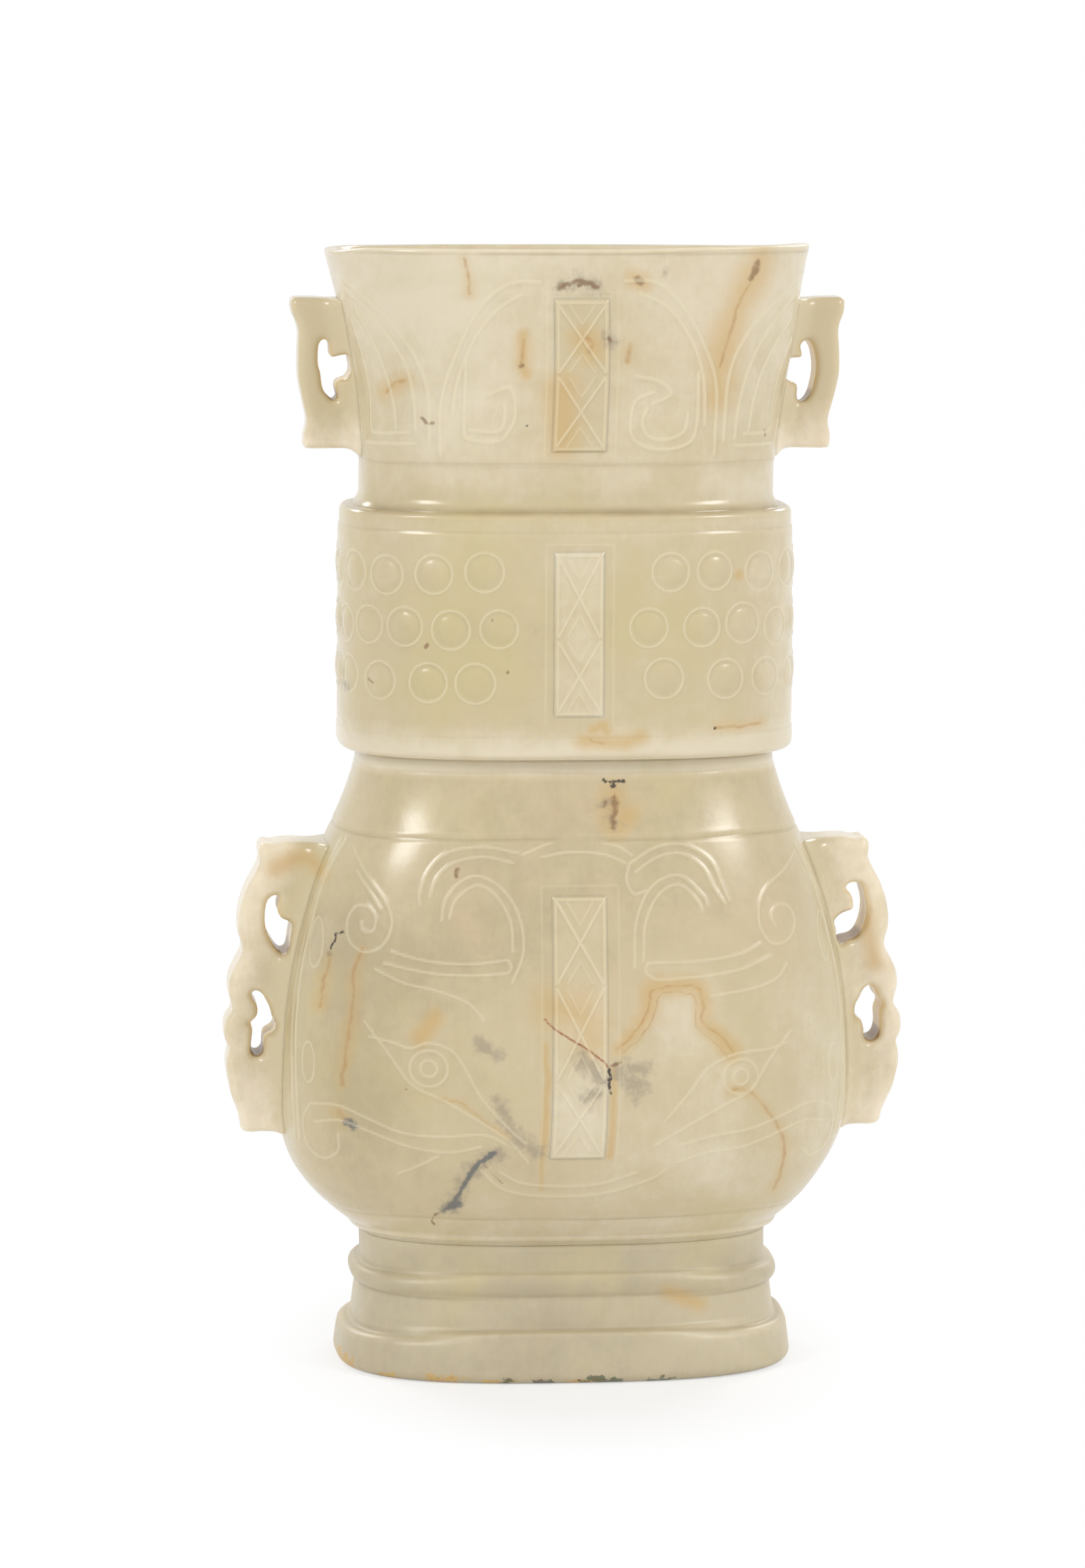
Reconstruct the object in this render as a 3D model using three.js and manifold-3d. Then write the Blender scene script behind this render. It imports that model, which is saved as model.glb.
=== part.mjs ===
// Archaistic jade vase, flattened baluster form, in millimetres with +Z up.
// The origin is the middle of the foot's underside. +X is to the right, -Y faces the viewer.
// The real vase is carved from one stone. Its carved members are separate solids here: the
// hollow vessel, the collar round its neck, the foot, four pierced handles and six raised
// flanges. Each member is cut to the face that carries it, with a seam between them.

import * as THREE from 'three';
import { mergeVertices } from 'three/addons/utils/BufferGeometryUtils.js';
import Module from 'manifold-3d';

const wasm = await Module();
wasm.setup();

// Seam left where two members meet on a curved face.
const SEAM = 0.3;

// Every level section is a rounded oblong, a superellipse of this exponent.
const SECTION_EXPONENT = 2.8;
const SECTION_SIDES = 36;

// Half width and half depth of the main sections.
const STEM = { w: 36.7, d: 23.1 };
const BELLY_FOOT = { w: 38.9, d: 24.8 };
const BELLY = { w: 51.3, d: 32.9 };
const SHOULDER = { w: 41.6, d: 26.7 };
const SHOULDER_TOP = { w: 37.3, d: 23.6 };
const NECK = { w: 36.8, d: 23.0 };
const MOUTH_FOOT = { w: 37.2, d: 23.4 };
const RIM = { w: 43.0, d: 27.4 };

// Heights of the foot's mouldings, from the ground up, and how far each stands out of the stem.
// An arc runs between two angles in degrees above the level, its middle on the moulding.
const BASE_HEIGHT = 9.0;
const BASE_TOP_PROJECTION = 4.0;
const BASE_BOTTOM_PROJECTION = 4.5;
const BASE_TOP_RADIUS = 2.3;
const BASE_TOP_ARC = { top: 78, bottom: 0 };
const BASE_BOTTOM_RADIUS = 1.6;
const COVE_HEIGHT = 3.3;
const COVE_BOTTOM_PROJECTION = 2.0;
const COVE_TOP_PROJECTION = 1.3;
const BEAD_HEIGHT = 5.9;
const BEAD_PROJECTION = 2.1;
const BEAD_ARC = { top: 65, bottom: -45 };
const STEM_HEIGHT = 6.1;
const FOOT_RING_WALL = 7.0;
const FOOT_RECESS_DEPTH = 7.5;
const FOOT_RECESS_TAPER = 1.2;

// Heights of the vessel's stretches, each above the one before.
const BELLY_LOWER_HEIGHT = 25.7;
const BELLY_UPPER_HEIGHT = 47.5;
const SHOULDER_HEIGHT = 13.8;
const NECK_HEIGHT = 51.5;
const MOUTH_HEIGHT = 37.2;
const BELLY_EDGE_RADIUS = 1.6;
const BELLY_LOWER_POWER = 2.5;
const BELLY_UPPER_POWER = 2.3;
const SHOULDER_POWER = 1.5;
const MOUTH_POWER = 1.45;
const RIM_EDGE = 0.6;

// Walls of the hollow.
const RIM_WALL = 2.8;
const NECK_WALL = 4.8;
const BELLY_WALL = 5.5;
const FLOOR_THICKNESS = 7.0;

// Collar: a sleeve round the neck that sits on the top of the shoulder.
const COLLAR_HEIGHT = 43.5;
const COLLAR_TOP_PROJECTION = 3.3;
const COLLAR_BOTTOM_PROJECTION = 3.8;
const COLLAR_EDGE = 0.9;

// Bosses on the collar: three rows of low domes, the middle row staggered.
const BOSS_DIAMETER = 5.6;
const BOSS_HEIGHT = 0.5;
const BOSS_ROOT = 1.0;
const BOSS_SIDES = 7;
const BOSS_CROWN = { radius: 0.62, height: 0.75 };
const BOSS_MIDDLE_ROW = 23.5;
const BOSS_ROW_PITCH = 9.5;
const BOSS_OUTER_START = 16.5;
const BOSS_MIDDLE_START = 13.2;
const BOSS_STEPS = 5;

// Flanges: raised strips down the middle of both faces, framed and crossed cell by cell.
const FLANGE_THICKNESS = 0.9;
const FLANGE_RIB_HEIGHT = 0.4;
const FLANGE_RIB_WIDTH = 0.8;
const MOUTH_FLANGE = { width: 10.2, height: 27.4, foot: 2.2, cells: 2 };
const COLLAR_FLANGE = { width: 9.5, height: 29.6, foot: 7.5, cells: 2 };
const BELLY_FLANGE = { width: 10.3, height: 46.8, foot: 17.0, cells: 3 };

// Handles: pierced plates at both narrow ends. A handle's size gives its thickness, its height,
// its reach out of the wall, and how far its foot stands above the foot of that wall.
const HANDLE_BEVEL = 0.6;
const HANDLE_CORNER = 1.4;
const MOUTH_HANDLE = { thickness: 8.5, height: 26.5, reach: 12.2, foot: 2.2 };
const BELLY_HANDLE = { thickness: 11.0, height: 52.2, reach: 9.8, foot: 17.6 };

// Outlines of the handles, in shares of their own reach and height. Each outer edge runs
// downwards in one stretch or, on the belly, in one stretch for each lobe of the scroll.
const MOUTH_HANDLE_EDGE = [
  [0.93, 0.84], [0.91, 0.76], [0.93, 0.55], [0.87, 0.36], [0.79, 0.19], [0.84, 0.07],
];
const MOUTH_HANDLE_OPENING = [
  [0.46, 0.70], [0.55, 0.69], [0.61, 0.51], [0.54, 0.36], [0.40, 0.27], [0.33, 0.32],
  [0.33, 0.41], [0.13, 0.43], [0.14, 0.58], [0.41, 0.59],
];
const BELLY_HANDLE_LOBES = [
  [[0.26, 1.01], [0.40, 0.98], [0.37, 0.94]],
  [[0.57, 0.86], [0.75, 0.76], [0.67, 0.63]],
  [[0.91, 0.53], [0.86, 0.42]],
  [[1.02, 0.36], [0.93, 0.30]],
  [[0.97, 0.24], [0.74, 0.08], [0.67, 0.03]],
];
const BELLY_HANDLE_OPENINGS = [
  [
    [0.07, 0.82], [0.20, 0.81], [0.28, 0.73], [0.11, 0.65], [-0.10, 0.63], [-0.20, 0.67],
    [-0.19, 0.71], [0.01, 0.73], [-0.02, 0.79],
  ],
  [
    [0.35, 0.48], [0.46, 0.46], [0.48, 0.40], [0.55, 0.37], [0.47, 0.34], [0.45, 0.29],
    [0.31, 0.29], [0.27, 0.35], [0.12, 0.37], [0.20, 0.43],
  ],
];
const OPENING_STEPS = 20;

// Levels that follow from the heights.
const COVE_Z = BASE_HEIGHT;
const BEAD_Z = COVE_Z + COVE_HEIGHT;
const STEM_Z = BEAD_Z + BEAD_HEIGHT;
const BELLY_FOOT_Z = STEM_Z + STEM_HEIGHT;
const BELLY_Z = BELLY_FOOT_Z + BELLY_LOWER_HEIGHT;
const SHOULDER_Z = BELLY_Z + BELLY_UPPER_HEIGHT;
const SHOULDER_TOP_Z = SHOULDER_Z + SHOULDER_HEIGHT;
const MOUTH_FOOT_Z = SHOULDER_TOP_Z + NECK_HEIGHT;
const RIM_Z = MOUTH_FOOT_Z + MOUTH_HEIGHT;
const FLOOR_Z = BELLY_FOOT_Z + FLOOR_THICKNESS;

const JADE = new THREE.MeshStandardMaterial({ color: 0xded5b9, roughness: 0.32, metalness: 0.0 });
const HANDLE_JADE = new THREE.MeshStandardMaterial({ color: 0xe4d8bf, roughness: 0.34, metalness: 0.0 });

// Helpers for sections and rings.

function grown(section, by) {
  return { w: section.w + by, d: section.d + by };
}

function between(from, to, share) {
  return { w: from.w + (to.w - from.w) * share, d: from.d + (to.d - from.d) * share };
}

function ring(z, section) {
  return { z, w: section.w, d: section.d };
}

// Rings from one level to another, where the section changes with a power of the way gone.
function rings(fromZ, toZ, from, to, power, steps) {
  const list = [];
  for (let i = 0; i <= steps; i += 1) {
    const way = i / steps;
    list.push(ring(fromZ + (toZ - fromZ) * way, between(from, to, way ** power)));
  }
  return list;
}

function sectionPoint(section, angle) {
  const c = Math.cos(angle);
  const s = Math.sin(angle);
  const power = 2 / SECTION_EXPONENT;
  return new THREE.Vector2(
    section.w * Math.sign(c) * Math.abs(c) ** power,
    section.d * Math.sign(s) * Math.abs(s) ** power,
  );
}

// A closed body through a path of rings. An open path is capped at both ends with a fan.
// A looped path joins its last ring to its first, which leaves a bore through the body.
function loft(path, looped = false) {
  const positions = [];
  const faces = [];
  for (const { z, w, d } of path) {
    for (let i = 0; i < SECTION_SIDES; i += 1) {
      const p = sectionPoint({ w, d }, (2 * Math.PI * i) / SECTION_SIDES);
      positions.push(p.x, p.y, z);
    }
  }
  const count = path.length;
  const last = looped ? count : count - 1;
  for (let r = 0; r < last; r += 1) {
    const low = r * SECTION_SIDES;
    const high = ((r + 1) % count) * SECTION_SIDES;
    for (let i = 0; i < SECTION_SIDES; i += 1) {
      const j = (i + 1) % SECTION_SIDES;
      faces.push(low + i, low + j, high + j, low + i, high + j, high + i);
    }
  }
  if (!looped) {
    const start = positions.length / 3;
    positions.push(0, 0, path[0].z, 0, 0, path[count - 1].z);
    const top = (count - 1) * SECTION_SIDES;
    for (let i = 0; i < SECTION_SIDES; i += 1) {
      const j = (i + 1) % SECTION_SIDES;
      faces.push(start, j, i, start + 1, top + i, top + j);
    }
  }
  const geometry = new THREE.BufferGeometry();
  geometry.setAttribute('position', new THREE.Float32BufferAttribute(positions, 3));
  geometry.setIndex(faces);
  return geometry;
}

// Helpers between three.js geometry and solids that can be joined and cut.

function toSolid(geometry) {
  const bare = geometry.clone();
  bare.deleteAttribute('normal');
  bare.deleteAttribute('uv');
  const merged = mergeVertices(bare, 1e-4);
  return new wasm.Manifold(new wasm.Mesh({
    numProp: 3,
    vertProperties: new Float32Array(merged.attributes.position.array),
    triVerts: new Uint32Array(merged.index.array),
  }));
}

function toGeometry(solid) {
  const mesh = solid.getMesh();
  const geometry = new THREE.BufferGeometry();
  geometry.setAttribute('position', new THREE.BufferAttribute(mesh.vertProperties, 3));
  geometry.setIndex(new THREE.BufferAttribute(mesh.triVerts, 1));
  geometry.computeVertexNormals();
  return geometry;
}

function named(name, geometry, material) {
  geometry.computeVertexNormals();
  const mesh = new THREE.Mesh(geometry, material);
  mesh.name = name;
  return mesh;
}

// Rings round an arc, such as a bead or a rounded edge, with its centre on the given section.
function arcRings(centreZ, section, radius, from, to, steps, bulge = radius) {
  const list = [];
  for (let i = 0; i <= steps; i += 1) {
    const angle = THREE.MathUtils.degToRad(from + ((to - from) * i) / steps);
    list.push(ring(centreZ + radius * Math.sin(angle), grown(section, bulge * Math.cos(angle))));
  }
  return list;
}

// The vessel's outside, from the seat on the foot up to the rim, grown outwards by a distance.

function bellyRings(grow) {
  const radius = BELLY_EDGE_RADIUS;
  const edgeZ = BELLY_FOOT_Z + radius;
  return [
    ...arcRings(edgeZ, grown(BELLY_FOOT, grow - radius), radius, -90, 0, 3).slice(0, -1),
    ...rings(BELLY_Z, edgeZ, grown(BELLY, grow), grown(BELLY_FOOT, grow), BELLY_LOWER_POWER, 6)
      .reverse(),
    ...rings(BELLY_Z, SHOULDER_Z, grown(BELLY, grow), grown(SHOULDER, grow), BELLY_UPPER_POWER, 7)
      .slice(1),
  ];
}

function shoulderRings(grow) {
  const top = grown(SHOULDER_TOP, grow);
  return rings(SHOULDER_TOP_Z, SHOULDER_Z, top, grown(SHOULDER, grow), SHOULDER_POWER, 4)
    .reverse()
    .slice(1);
}

function mouthRings(grow) {
  return rings(MOUTH_FOOT_Z, RIM_Z, grown(MOUTH_FOOT, grow), grown(RIM, grow), MOUTH_POWER, 5);
}

function neckRings(grow) {
  return [
    ring(SHOULDER_TOP_Z, grown(NECK, grow)),
    ring(MOUTH_FOOT_Z, grown(NECK, grow)),
  ];
}

function outside(grow) {
  return [...bellyRings(grow), ...shoulderRings(grow), ...neckRings(grow), ...mouthRings(grow)];
}

// Rings of the hollow, from the rim down to the floor.
function hollow() {
  const path = [];
  const steps = 3;
  for (let i = steps; i >= 0; i -= 1) {
    const way = i / steps;
    const outer = between(MOUTH_FOOT, RIM, way ** MOUTH_POWER);
    const wall = NECK_WALL + (RIM_WALL - NECK_WALL) * way;
    path.push(ring(MOUTH_FOOT_Z + MOUTH_HEIGHT * way, grown(outer, -wall)));
  }
  const bore = grown(NECK, -NECK_WALL);
  const widest = grown(BELLY, -BELLY_WALL);
  const floor = grown(BELLY_FOOT, -BELLY_WALL);
  const wayIn = rings(BELLY_Z, SHOULDER_TOP_Z, widest, bore, BELLY_UPPER_POWER, 6).reverse();
  const wayDown = rings(BELLY_Z, FLOOR_Z, widest, floor, BELLY_LOWER_POWER, 5).slice(1);
  return [...path, ...wayIn, ...wayDown];
}

function vessel() {
  const skin = outside(0);
  const rim = skin.pop();
  const edge = [ring(rim.z - RIM_EDGE, rim), ring(rim.z, grown(rim, -RIM_EDGE))];
  return loft([...skin, ...edge, ...hollow()]);
}

// The foot, from its seat under the belly down its mouldings and up into the recess.
function foot() {
  const top = grown(STEM, BASE_TOP_PROJECTION - BASE_TOP_RADIUS);
  const bottom = grown(STEM, BASE_BOTTOM_PROJECTION - BASE_BOTTOM_RADIUS);
  const recess = grown(STEM, BASE_BOTTOM_PROJECTION - FOOT_RING_WALL);
  const bead = BEAD_HEIGHT / 2;
  const path = [
    ring(BELLY_FOOT_Z, STEM),
    ring(STEM_Z, STEM),
    ...arcRings(BEAD_Z + bead, STEM, bead, BEAD_ARC.top, BEAD_ARC.bottom, 4, BEAD_PROJECTION),
    ring(BEAD_Z, grown(STEM, COVE_TOP_PROJECTION)),
    ring(COVE_Z, grown(STEM, COVE_BOTTOM_PROJECTION)),
    ...arcRings(BASE_HEIGHT - BASE_TOP_RADIUS, top, BASE_TOP_RADIUS, BASE_TOP_ARC.top,
      BASE_TOP_ARC.bottom, 3),
    ...arcRings(BASE_BOTTOM_RADIUS, bottom, BASE_BOTTOM_RADIUS, 0, -90, 3),
    ring(0, recess),
    ring(FOOT_RECESS_DEPTH, grown(recess, -FOOT_RECESS_TAPER)),
  ];
  return loft(path.reverse());
}

// The collar with its bosses.

function collarSection(z) {
  const way = (z - SHOULDER_TOP_Z) / COLLAR_HEIGHT;
  const projection = COLLAR_BOTTOM_PROJECTION
    + (COLLAR_TOP_PROJECTION - COLLAR_BOTTOM_PROJECTION) * way;
  return grown(NECK, projection);
}

function collarOutside(grow) {
  const top = SHOULDER_TOP_Z + COLLAR_HEIGHT;
  const low = SHOULDER_TOP_Z + COLLAR_EDGE;
  const high = top - COLLAR_EDGE;
  return [
    ring(SHOULDER_TOP_Z, grown(collarSection(SHOULDER_TOP_Z), grow - COLLAR_EDGE)),
    ring(low, grown(collarSection(low), grow)),
    ring(high, grown(collarSection(high), grow)),
    ring(top, grown(collarSection(top), grow - COLLAR_EDGE)),
  ];
}

// Points at given distances along a quarter of a section, from the middle of the front face
// to the middle of the side, with the outward direction there.
function alongQuarter(section, distances) {
  const steps = 400;
  const points = [];
  for (let i = 0; i <= steps; i += 1) {
    points.push(sectionPoint(section, -Math.PI / 2 + (Math.PI / 2) * (i / steps)));
  }
  const found = [];
  let gone = 0;
  for (let i = 1; i <= steps; i += 1) {
    const step = points[i].distanceTo(points[i - 1]);
    for (const distance of distances) {
      if (distance > gone && distance <= gone + step) {
        const along = points[i].clone().sub(points[i - 1]).normalize();
        found.push({ x: points[i].x, y: points[i].y, nx: along.y, ny: -along.x });
      }
    }
    gone += step;
  }
  return { found, length: gone };
}

// One boss: a shallow dome on a plug that sinks into the collar.
function bossSolid() {
  const radius = BOSS_DIAMETER / 2;
  const profile = [
    new THREE.Vector2(0, -BOSS_ROOT),
    new THREE.Vector2(radius, -BOSS_ROOT),
    new THREE.Vector2(radius, 0),
    new THREE.Vector2(radius * BOSS_CROWN.radius, BOSS_HEIGHT * BOSS_CROWN.height),
    new THREE.Vector2(0, BOSS_HEIGHT),
  ];
  return toSolid(new THREE.LatheGeometry(profile, BOSS_SIDES));
}

function bossesOf(z, start, halfStep) {
  const section = collarSection(z);
  const { length } = alongQuarter(section, []);
  const pitch = (length - start) / (BOSS_STEPS + (halfStep ? 0.5 : 0));
  const last = halfStep ? BOSS_STEPS : BOSS_STEPS - 1;
  const distances = [];
  for (let i = 0; i <= last; i += 1) {
    distances.push(start + pitch * i);
  }
  const places = alongQuarter(section, distances).found;
  const out = new THREE.Vector3();
  const up = new THREE.Vector3(0, 1, 0);
  const boss = bossSolid();
  const solids = [];
  const put = (x, y, nx, ny) => {
    out.set(nx, ny, 0).normalize();
    const matrix = new THREE.Matrix4().compose(
      new THREE.Vector3(x, y, z),
      new THREE.Quaternion().setFromUnitVectors(up, out),
      new THREE.Vector3(1, 1, 1),
    );
    solids.push(boss.transform(matrix.elements));
  };
  for (const { x, y, nx, ny } of places) {
    for (const sx of [-1, 1]) {
      for (const sy of [-1, 1]) {
        put(sx * x, sy * y, sx * nx, sy * ny);
      }
    }
  }
  if (!halfStep) {
    put(section.w, 0, 1, 0);
    put(-section.w, 0, -1, 0);
  }
  return solids;
}

function collar() {
  const bore = grown(NECK, SEAM);
  const top = SHOULDER_TOP_Z + COLLAR_HEIGHT;
  const path = [...collarOutside(0), ring(top, bore), ring(SHOULDER_TOP_Z, bore)];
  const middle = SHOULDER_TOP_Z + BOSS_MIDDLE_ROW;
  const bosses = [
    ...bossesOf(middle - BOSS_ROW_PITCH, BOSS_OUTER_START, false),
    ...bossesOf(middle, BOSS_MIDDLE_START, true),
    ...bossesOf(middle + BOSS_ROW_PITCH, BOSS_OUTER_START, false),
  ];
  return toGeometry(wasm.Manifold.union([toSolid(loft(path, true)), ...bosses]));
}

// Flanges.

// A corner-to-corner cross in a frame leaves four triangular openings in each cell.
function crossOpenings(left, right, low, high) {
  const rib = FLANGE_RIB_WIDTH;
  const cx = (left + right) / 2;
  const cz = (low + high) / 2;
  const halfW = (right - left) / 2;
  const halfH = (high - low) / 2;
  const slant = Math.hypot(halfW, halfH);
  const insetX = (rib * slant) / (2 * halfH);
  const insetZ = (rib * slant) / (2 * halfW);
  return [
    [[left + insetX, high], [cx, cz + insetZ], [right - insetX, high]],
    [[right - insetX, low], [cx, cz - insetZ], [left + insetX, low]],
    [[left, low + insetZ], [cx - insetX, cz], [left, high - insetZ]],
    [[right, high - insetZ], [cx + insetX, cz], [right, low + insetZ]],
  ];
}

function polygon(points) {
  return points.map(([x, z]) => new THREE.Vector2(x, z));
}

function rectangle(width, low, high) {
  const half = width / 2;
  return new THREE.Shape(polygon([[-half, low], [half, low], [half, high], [-half, high]]));
}

// A shape drawn on X and Z, pushed straight forwards from the middle of the vase.
function pushedForward(shape, reach) {
  const geometry = new THREE.ExtrudeGeometry(shape, { depth: reach, bevelEnabled: false });
  geometry.rotateX(Math.PI / 2);
  return toSolid(geometry);
}

function flange(size, footZ, skinRings) {
  const low = footZ + size.foot;
  const high = low + size.height;
  const reach = 2 * BELLY.d;
  const rib = FLANGE_RIB_WIDTH;
  const lattice = rectangle(size.width, low, high);
  const cell = (size.height - rib) / size.cells;
  for (let i = 0; i < size.cells; i += 1) {
    const cellLow = low + rib + cell * i;
    const inner = size.width / 2 - rib;
    for (const hole of crossOpenings(-inner, inner, cellLow, cellLow + cell - rib)) {
      lattice.holes.push(new THREE.Path(polygon(hole)));
    }
  }
  const inside = toSolid(loft(skinRings(SEAM)));
  const plate = pushedForward(rectangle(size.width, low, high), reach)
    .intersect(toSolid(loft(skinRings(SEAM + FLANGE_THICKNESS))))
    .subtract(inside);
  const ribs = pushedForward(lattice, reach)
    .intersect(toSolid(loft(skinRings(SEAM + FLANGE_THICKNESS + FLANGE_RIB_HEIGHT))))
    .subtract(inside);
  return plate.add(ribs);
}

function flangePair(name, size, footZ, skinRings) {
  const front = flange(size, footZ, skinRings);
  return [
    named(`${name}_front`, toGeometry(front), JADE),
    named(`${name}_back`, toGeometry(front.rotate([0, 0, 180])), JADE),
  ];
}

// Handles.

// A smooth opening through a few points. It runs counter-clockwise, because the outlines
// of the handles run clockwise.
function smoothOpening(points) {
  const curve = new THREE.CatmullRomCurve3(
    points.map(([x, z]) => new THREE.Vector3(x, z, 0)),
    true,
    'centripetal',
  );
  const loop = curve.getPoints(OPENING_STEPS).slice(0, -1).map((p) => new THREE.Vector2(p.x, p.y));
  return new THREE.Path(THREE.ShapeUtils.isClockWise(loop) ? loop.reverse() : loop);
}

// Points of an outline at a handle's real size.
function sized(points, { reach, height }) {
  return points.map(([x, z]) => [x * reach, z * height]);
}

// The outline starts and ends on the vase's axis, so that the plate reaches the wall at every
// height. The foot is undercut by a short cavetto.
function mouthHandleShape(wallX) {
  const { height, reach } = MOUTH_HANDLE;
  const corner = HANDLE_CORNER;
  const shape = new THREE.Shape();
  shape.moveTo(-wallX, height);
  shape.lineTo(reach - corner, height);
  shape.quadraticCurveTo(reach, height, reach, height - corner);
  shape.splineThru(polygon(sized(MOUTH_HANDLE_EDGE, MOUTH_HANDLE)));
  shape.quadraticCurveTo(reach - 2 * corner, 0, reach - 3 * corner, 0);
  shape.lineTo(corner, 0);
  shape.quadraticCurveTo(0, 0, 0, -corner);
  shape.lineTo(-wallX, -corner);
  shape.holes.push(smoothOpening(sized(MOUTH_HANDLE_OPENING, MOUTH_HANDLE)));
  return shape;
}

function bellyHandleShape(wallX) {
  const { height, reach } = BELLY_HANDLE;
  const corner = HANDLE_CORNER;
  const shape = new THREE.Shape();
  shape.moveTo(-wallX, height);
  shape.lineTo(0, height);
  for (const lobe of BELLY_HANDLE_LOBES) {
    shape.splineThru(polygon(sized(lobe, BELLY_HANDLE)));
  }
  const heel = shape.currentPoint.x;
  shape.quadraticCurveTo(heel, 0, heel - corner, 0);
  shape.lineTo(0, 0);
  shape.lineTo(-corner, -corner);
  shape.lineTo(-wallX, -corner);
  for (const opening of BELLY_HANDLE_OPENINGS) {
    shape.holes.push(smoothOpening(sized(opening, BELLY_HANDLE)));
  }
  return shape;
}

// A plate of the handle's outline, pierced, and cut to the wall that carries it.
function handle(drawShape, size, wallX, footZ) {
  const outline = drawShape(wallX);
  const openings = outline.holes;
  outline.holes = [];
  const depth = size.thickness - 2 * HANDLE_BEVEL;
  const plate = new THREE.ExtrudeGeometry(outline, {
    depth,
    bevelEnabled: true,
    bevelThickness: HANDLE_BEVEL,
    bevelSize: HANDLE_BEVEL,
    bevelOffset: -HANDLE_BEVEL,
    bevelSegments: 1,
    curveSegments: 3,
  });
  const upright = (geometry) => {
    geometry.translate(0, 0, -depth / 2);
    geometry.rotateX(Math.PI / 2);
    geometry.translate(wallX, 0, footZ + size.foot);
    return toSolid(geometry);
  };
  const pierced = openings.reduce((solid, opening) => {
    const prism = new THREE.ExtrudeGeometry(new THREE.Shape(opening.getPoints()), {
      depth: depth + 4 * HANDLE_BEVEL,
      bevelEnabled: false,
    });
    prism.translate(0, 0, -2 * HANDLE_BEVEL);
    return solid.subtract(upright(prism));
  }, upright(plate));
  return pierced.subtract(toSolid(loft(outside(SEAM))));
}

function handlePair(name, solid) {
  return [
    named(`${name}_left`, toGeometry(solid.mirror([1, 0, 0])), HANDLE_JADE),
    named(`${name}_right`, toGeometry(solid), HANDLE_JADE),
  ];
}

const mouthHandle = handle(mouthHandleShape, MOUTH_HANDLE, MOUTH_FOOT.w, MOUTH_FOOT_Z);
const bellyHandle = handle(bellyHandleShape, BELLY_HANDLE, BELLY.w, BELLY_FOOT_Z);

const vase = new THREE.Group();
vase.add(
  named('vessel', vessel(), JADE),
  named('collar', collar(), JADE),
  named('foot', foot(), JADE),
  ...handlePair('mouth_handle', mouthHandle),
  ...handlePair('belly_handle', bellyHandle),
  ...flangePair('mouth_flange', MOUTH_FLANGE, MOUTH_FOOT_Z, mouthRings),
  ...flangePair('collar_flange', COLLAR_FLANGE, SHOULDER_TOP_Z, collarOutside),
  ...flangePair('belly_flange', BELLY_FLANGE, BELLY_FOOT_Z, bellyRings),
);

export default vase;
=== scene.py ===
"""Jade vase: its looks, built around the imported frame.

Lengths in this script are millimetres until a mesh is made, which is in metres. +X is to the
right, -Y faces the viewer, +Z is up, and the origin is the middle of the foot's underside.

A place on the wall is given as (u, z): u is the length along the wall from the middle of the
front, positive to the right, and z is the height. The back repeats the front, turned half round.
"""
import math

import bpy
import numpy as np
from mathutils import Matrix, Vector


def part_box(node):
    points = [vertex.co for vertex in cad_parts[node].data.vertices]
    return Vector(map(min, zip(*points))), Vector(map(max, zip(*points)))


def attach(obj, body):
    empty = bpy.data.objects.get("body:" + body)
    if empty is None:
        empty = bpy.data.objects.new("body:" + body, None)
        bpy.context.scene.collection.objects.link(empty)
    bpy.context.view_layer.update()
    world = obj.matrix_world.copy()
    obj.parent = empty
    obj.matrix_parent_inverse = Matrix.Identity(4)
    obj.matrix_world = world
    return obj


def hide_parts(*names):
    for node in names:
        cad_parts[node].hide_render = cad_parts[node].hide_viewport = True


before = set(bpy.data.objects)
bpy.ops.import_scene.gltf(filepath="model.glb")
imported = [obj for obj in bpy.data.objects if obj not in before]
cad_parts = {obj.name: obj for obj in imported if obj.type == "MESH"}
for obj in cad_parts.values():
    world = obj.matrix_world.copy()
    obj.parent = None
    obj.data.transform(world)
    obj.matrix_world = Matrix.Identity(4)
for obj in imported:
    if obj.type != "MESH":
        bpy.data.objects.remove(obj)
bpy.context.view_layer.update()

MM = 0.001
IMAGE_HEIGHT = 2307

# The photograph's camera, fitted to the vase's outline: focal length in pixels, the rest in
# degrees and millimetres. The aim is given from the vase's axis.
CAMERA_AZIMUTH = -5.5
CAMERA_ELEVATION = 7.1
CAMERA_ROLL = 0.25
CAMERA_DISTANCE = 1040.0
CAMERA_FOCAL_PX = 8500.0
CAMERA_AIM_RIGHT = -3.75
CAMERA_AIM_HEIGHT = 104.0

# The section is a superellipse. Its sizes are half width and half depth.
SECTION_EXPONENT = 2.8
SECTION_RATIO = 0.64
STEM = np.array((36.7, 23.1))
BELLY_FOOT = np.array((38.9, 24.8))
BELLY = np.array((51.3, 32.9))
SHOULDER = np.array((41.6, 26.7))
SHOULDER_TOP = np.array((37.3, 23.6))
NECK = np.array((36.8, 23.0))
MOUTH_FOOT = np.array((37.2, 23.4))
RIM = np.array((43.0, 27.4))

# Heights of the members, and how fully each one swells.
BELLY_FOOT_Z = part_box("foot")[1].z / MM
BELLY_Z = 50.0
SHOULDER_Z = 97.5
SHOULDER_TOP_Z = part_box("collar")[0].z / MM
COLLAR_TOP_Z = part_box("collar")[1].z / MM
MOUTH_FOOT_Z = 162.8
RIM_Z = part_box("vessel")[1].z / MM
FLOOR_Z = 31.3
BELLY_BOTTOM_Z = BELLY_FOOT_Z + 0.8
BELLY_EDGE = 1.2
BELLY_LOWER_POWER = 2.5
BELLY_UPPER_POWER = 2.3
SHOULDER_POWER = 1.5
MOUTH_POWER = 1.45
RIM_WALL = 2.8
NECK_WALL = 4.8
BELLY_WALL = 5.5
# The hollow's neck and mouth blend over this height, up and down.
HOLLOW_BLEND = 6
LIP_EDGE = 0.45
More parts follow.
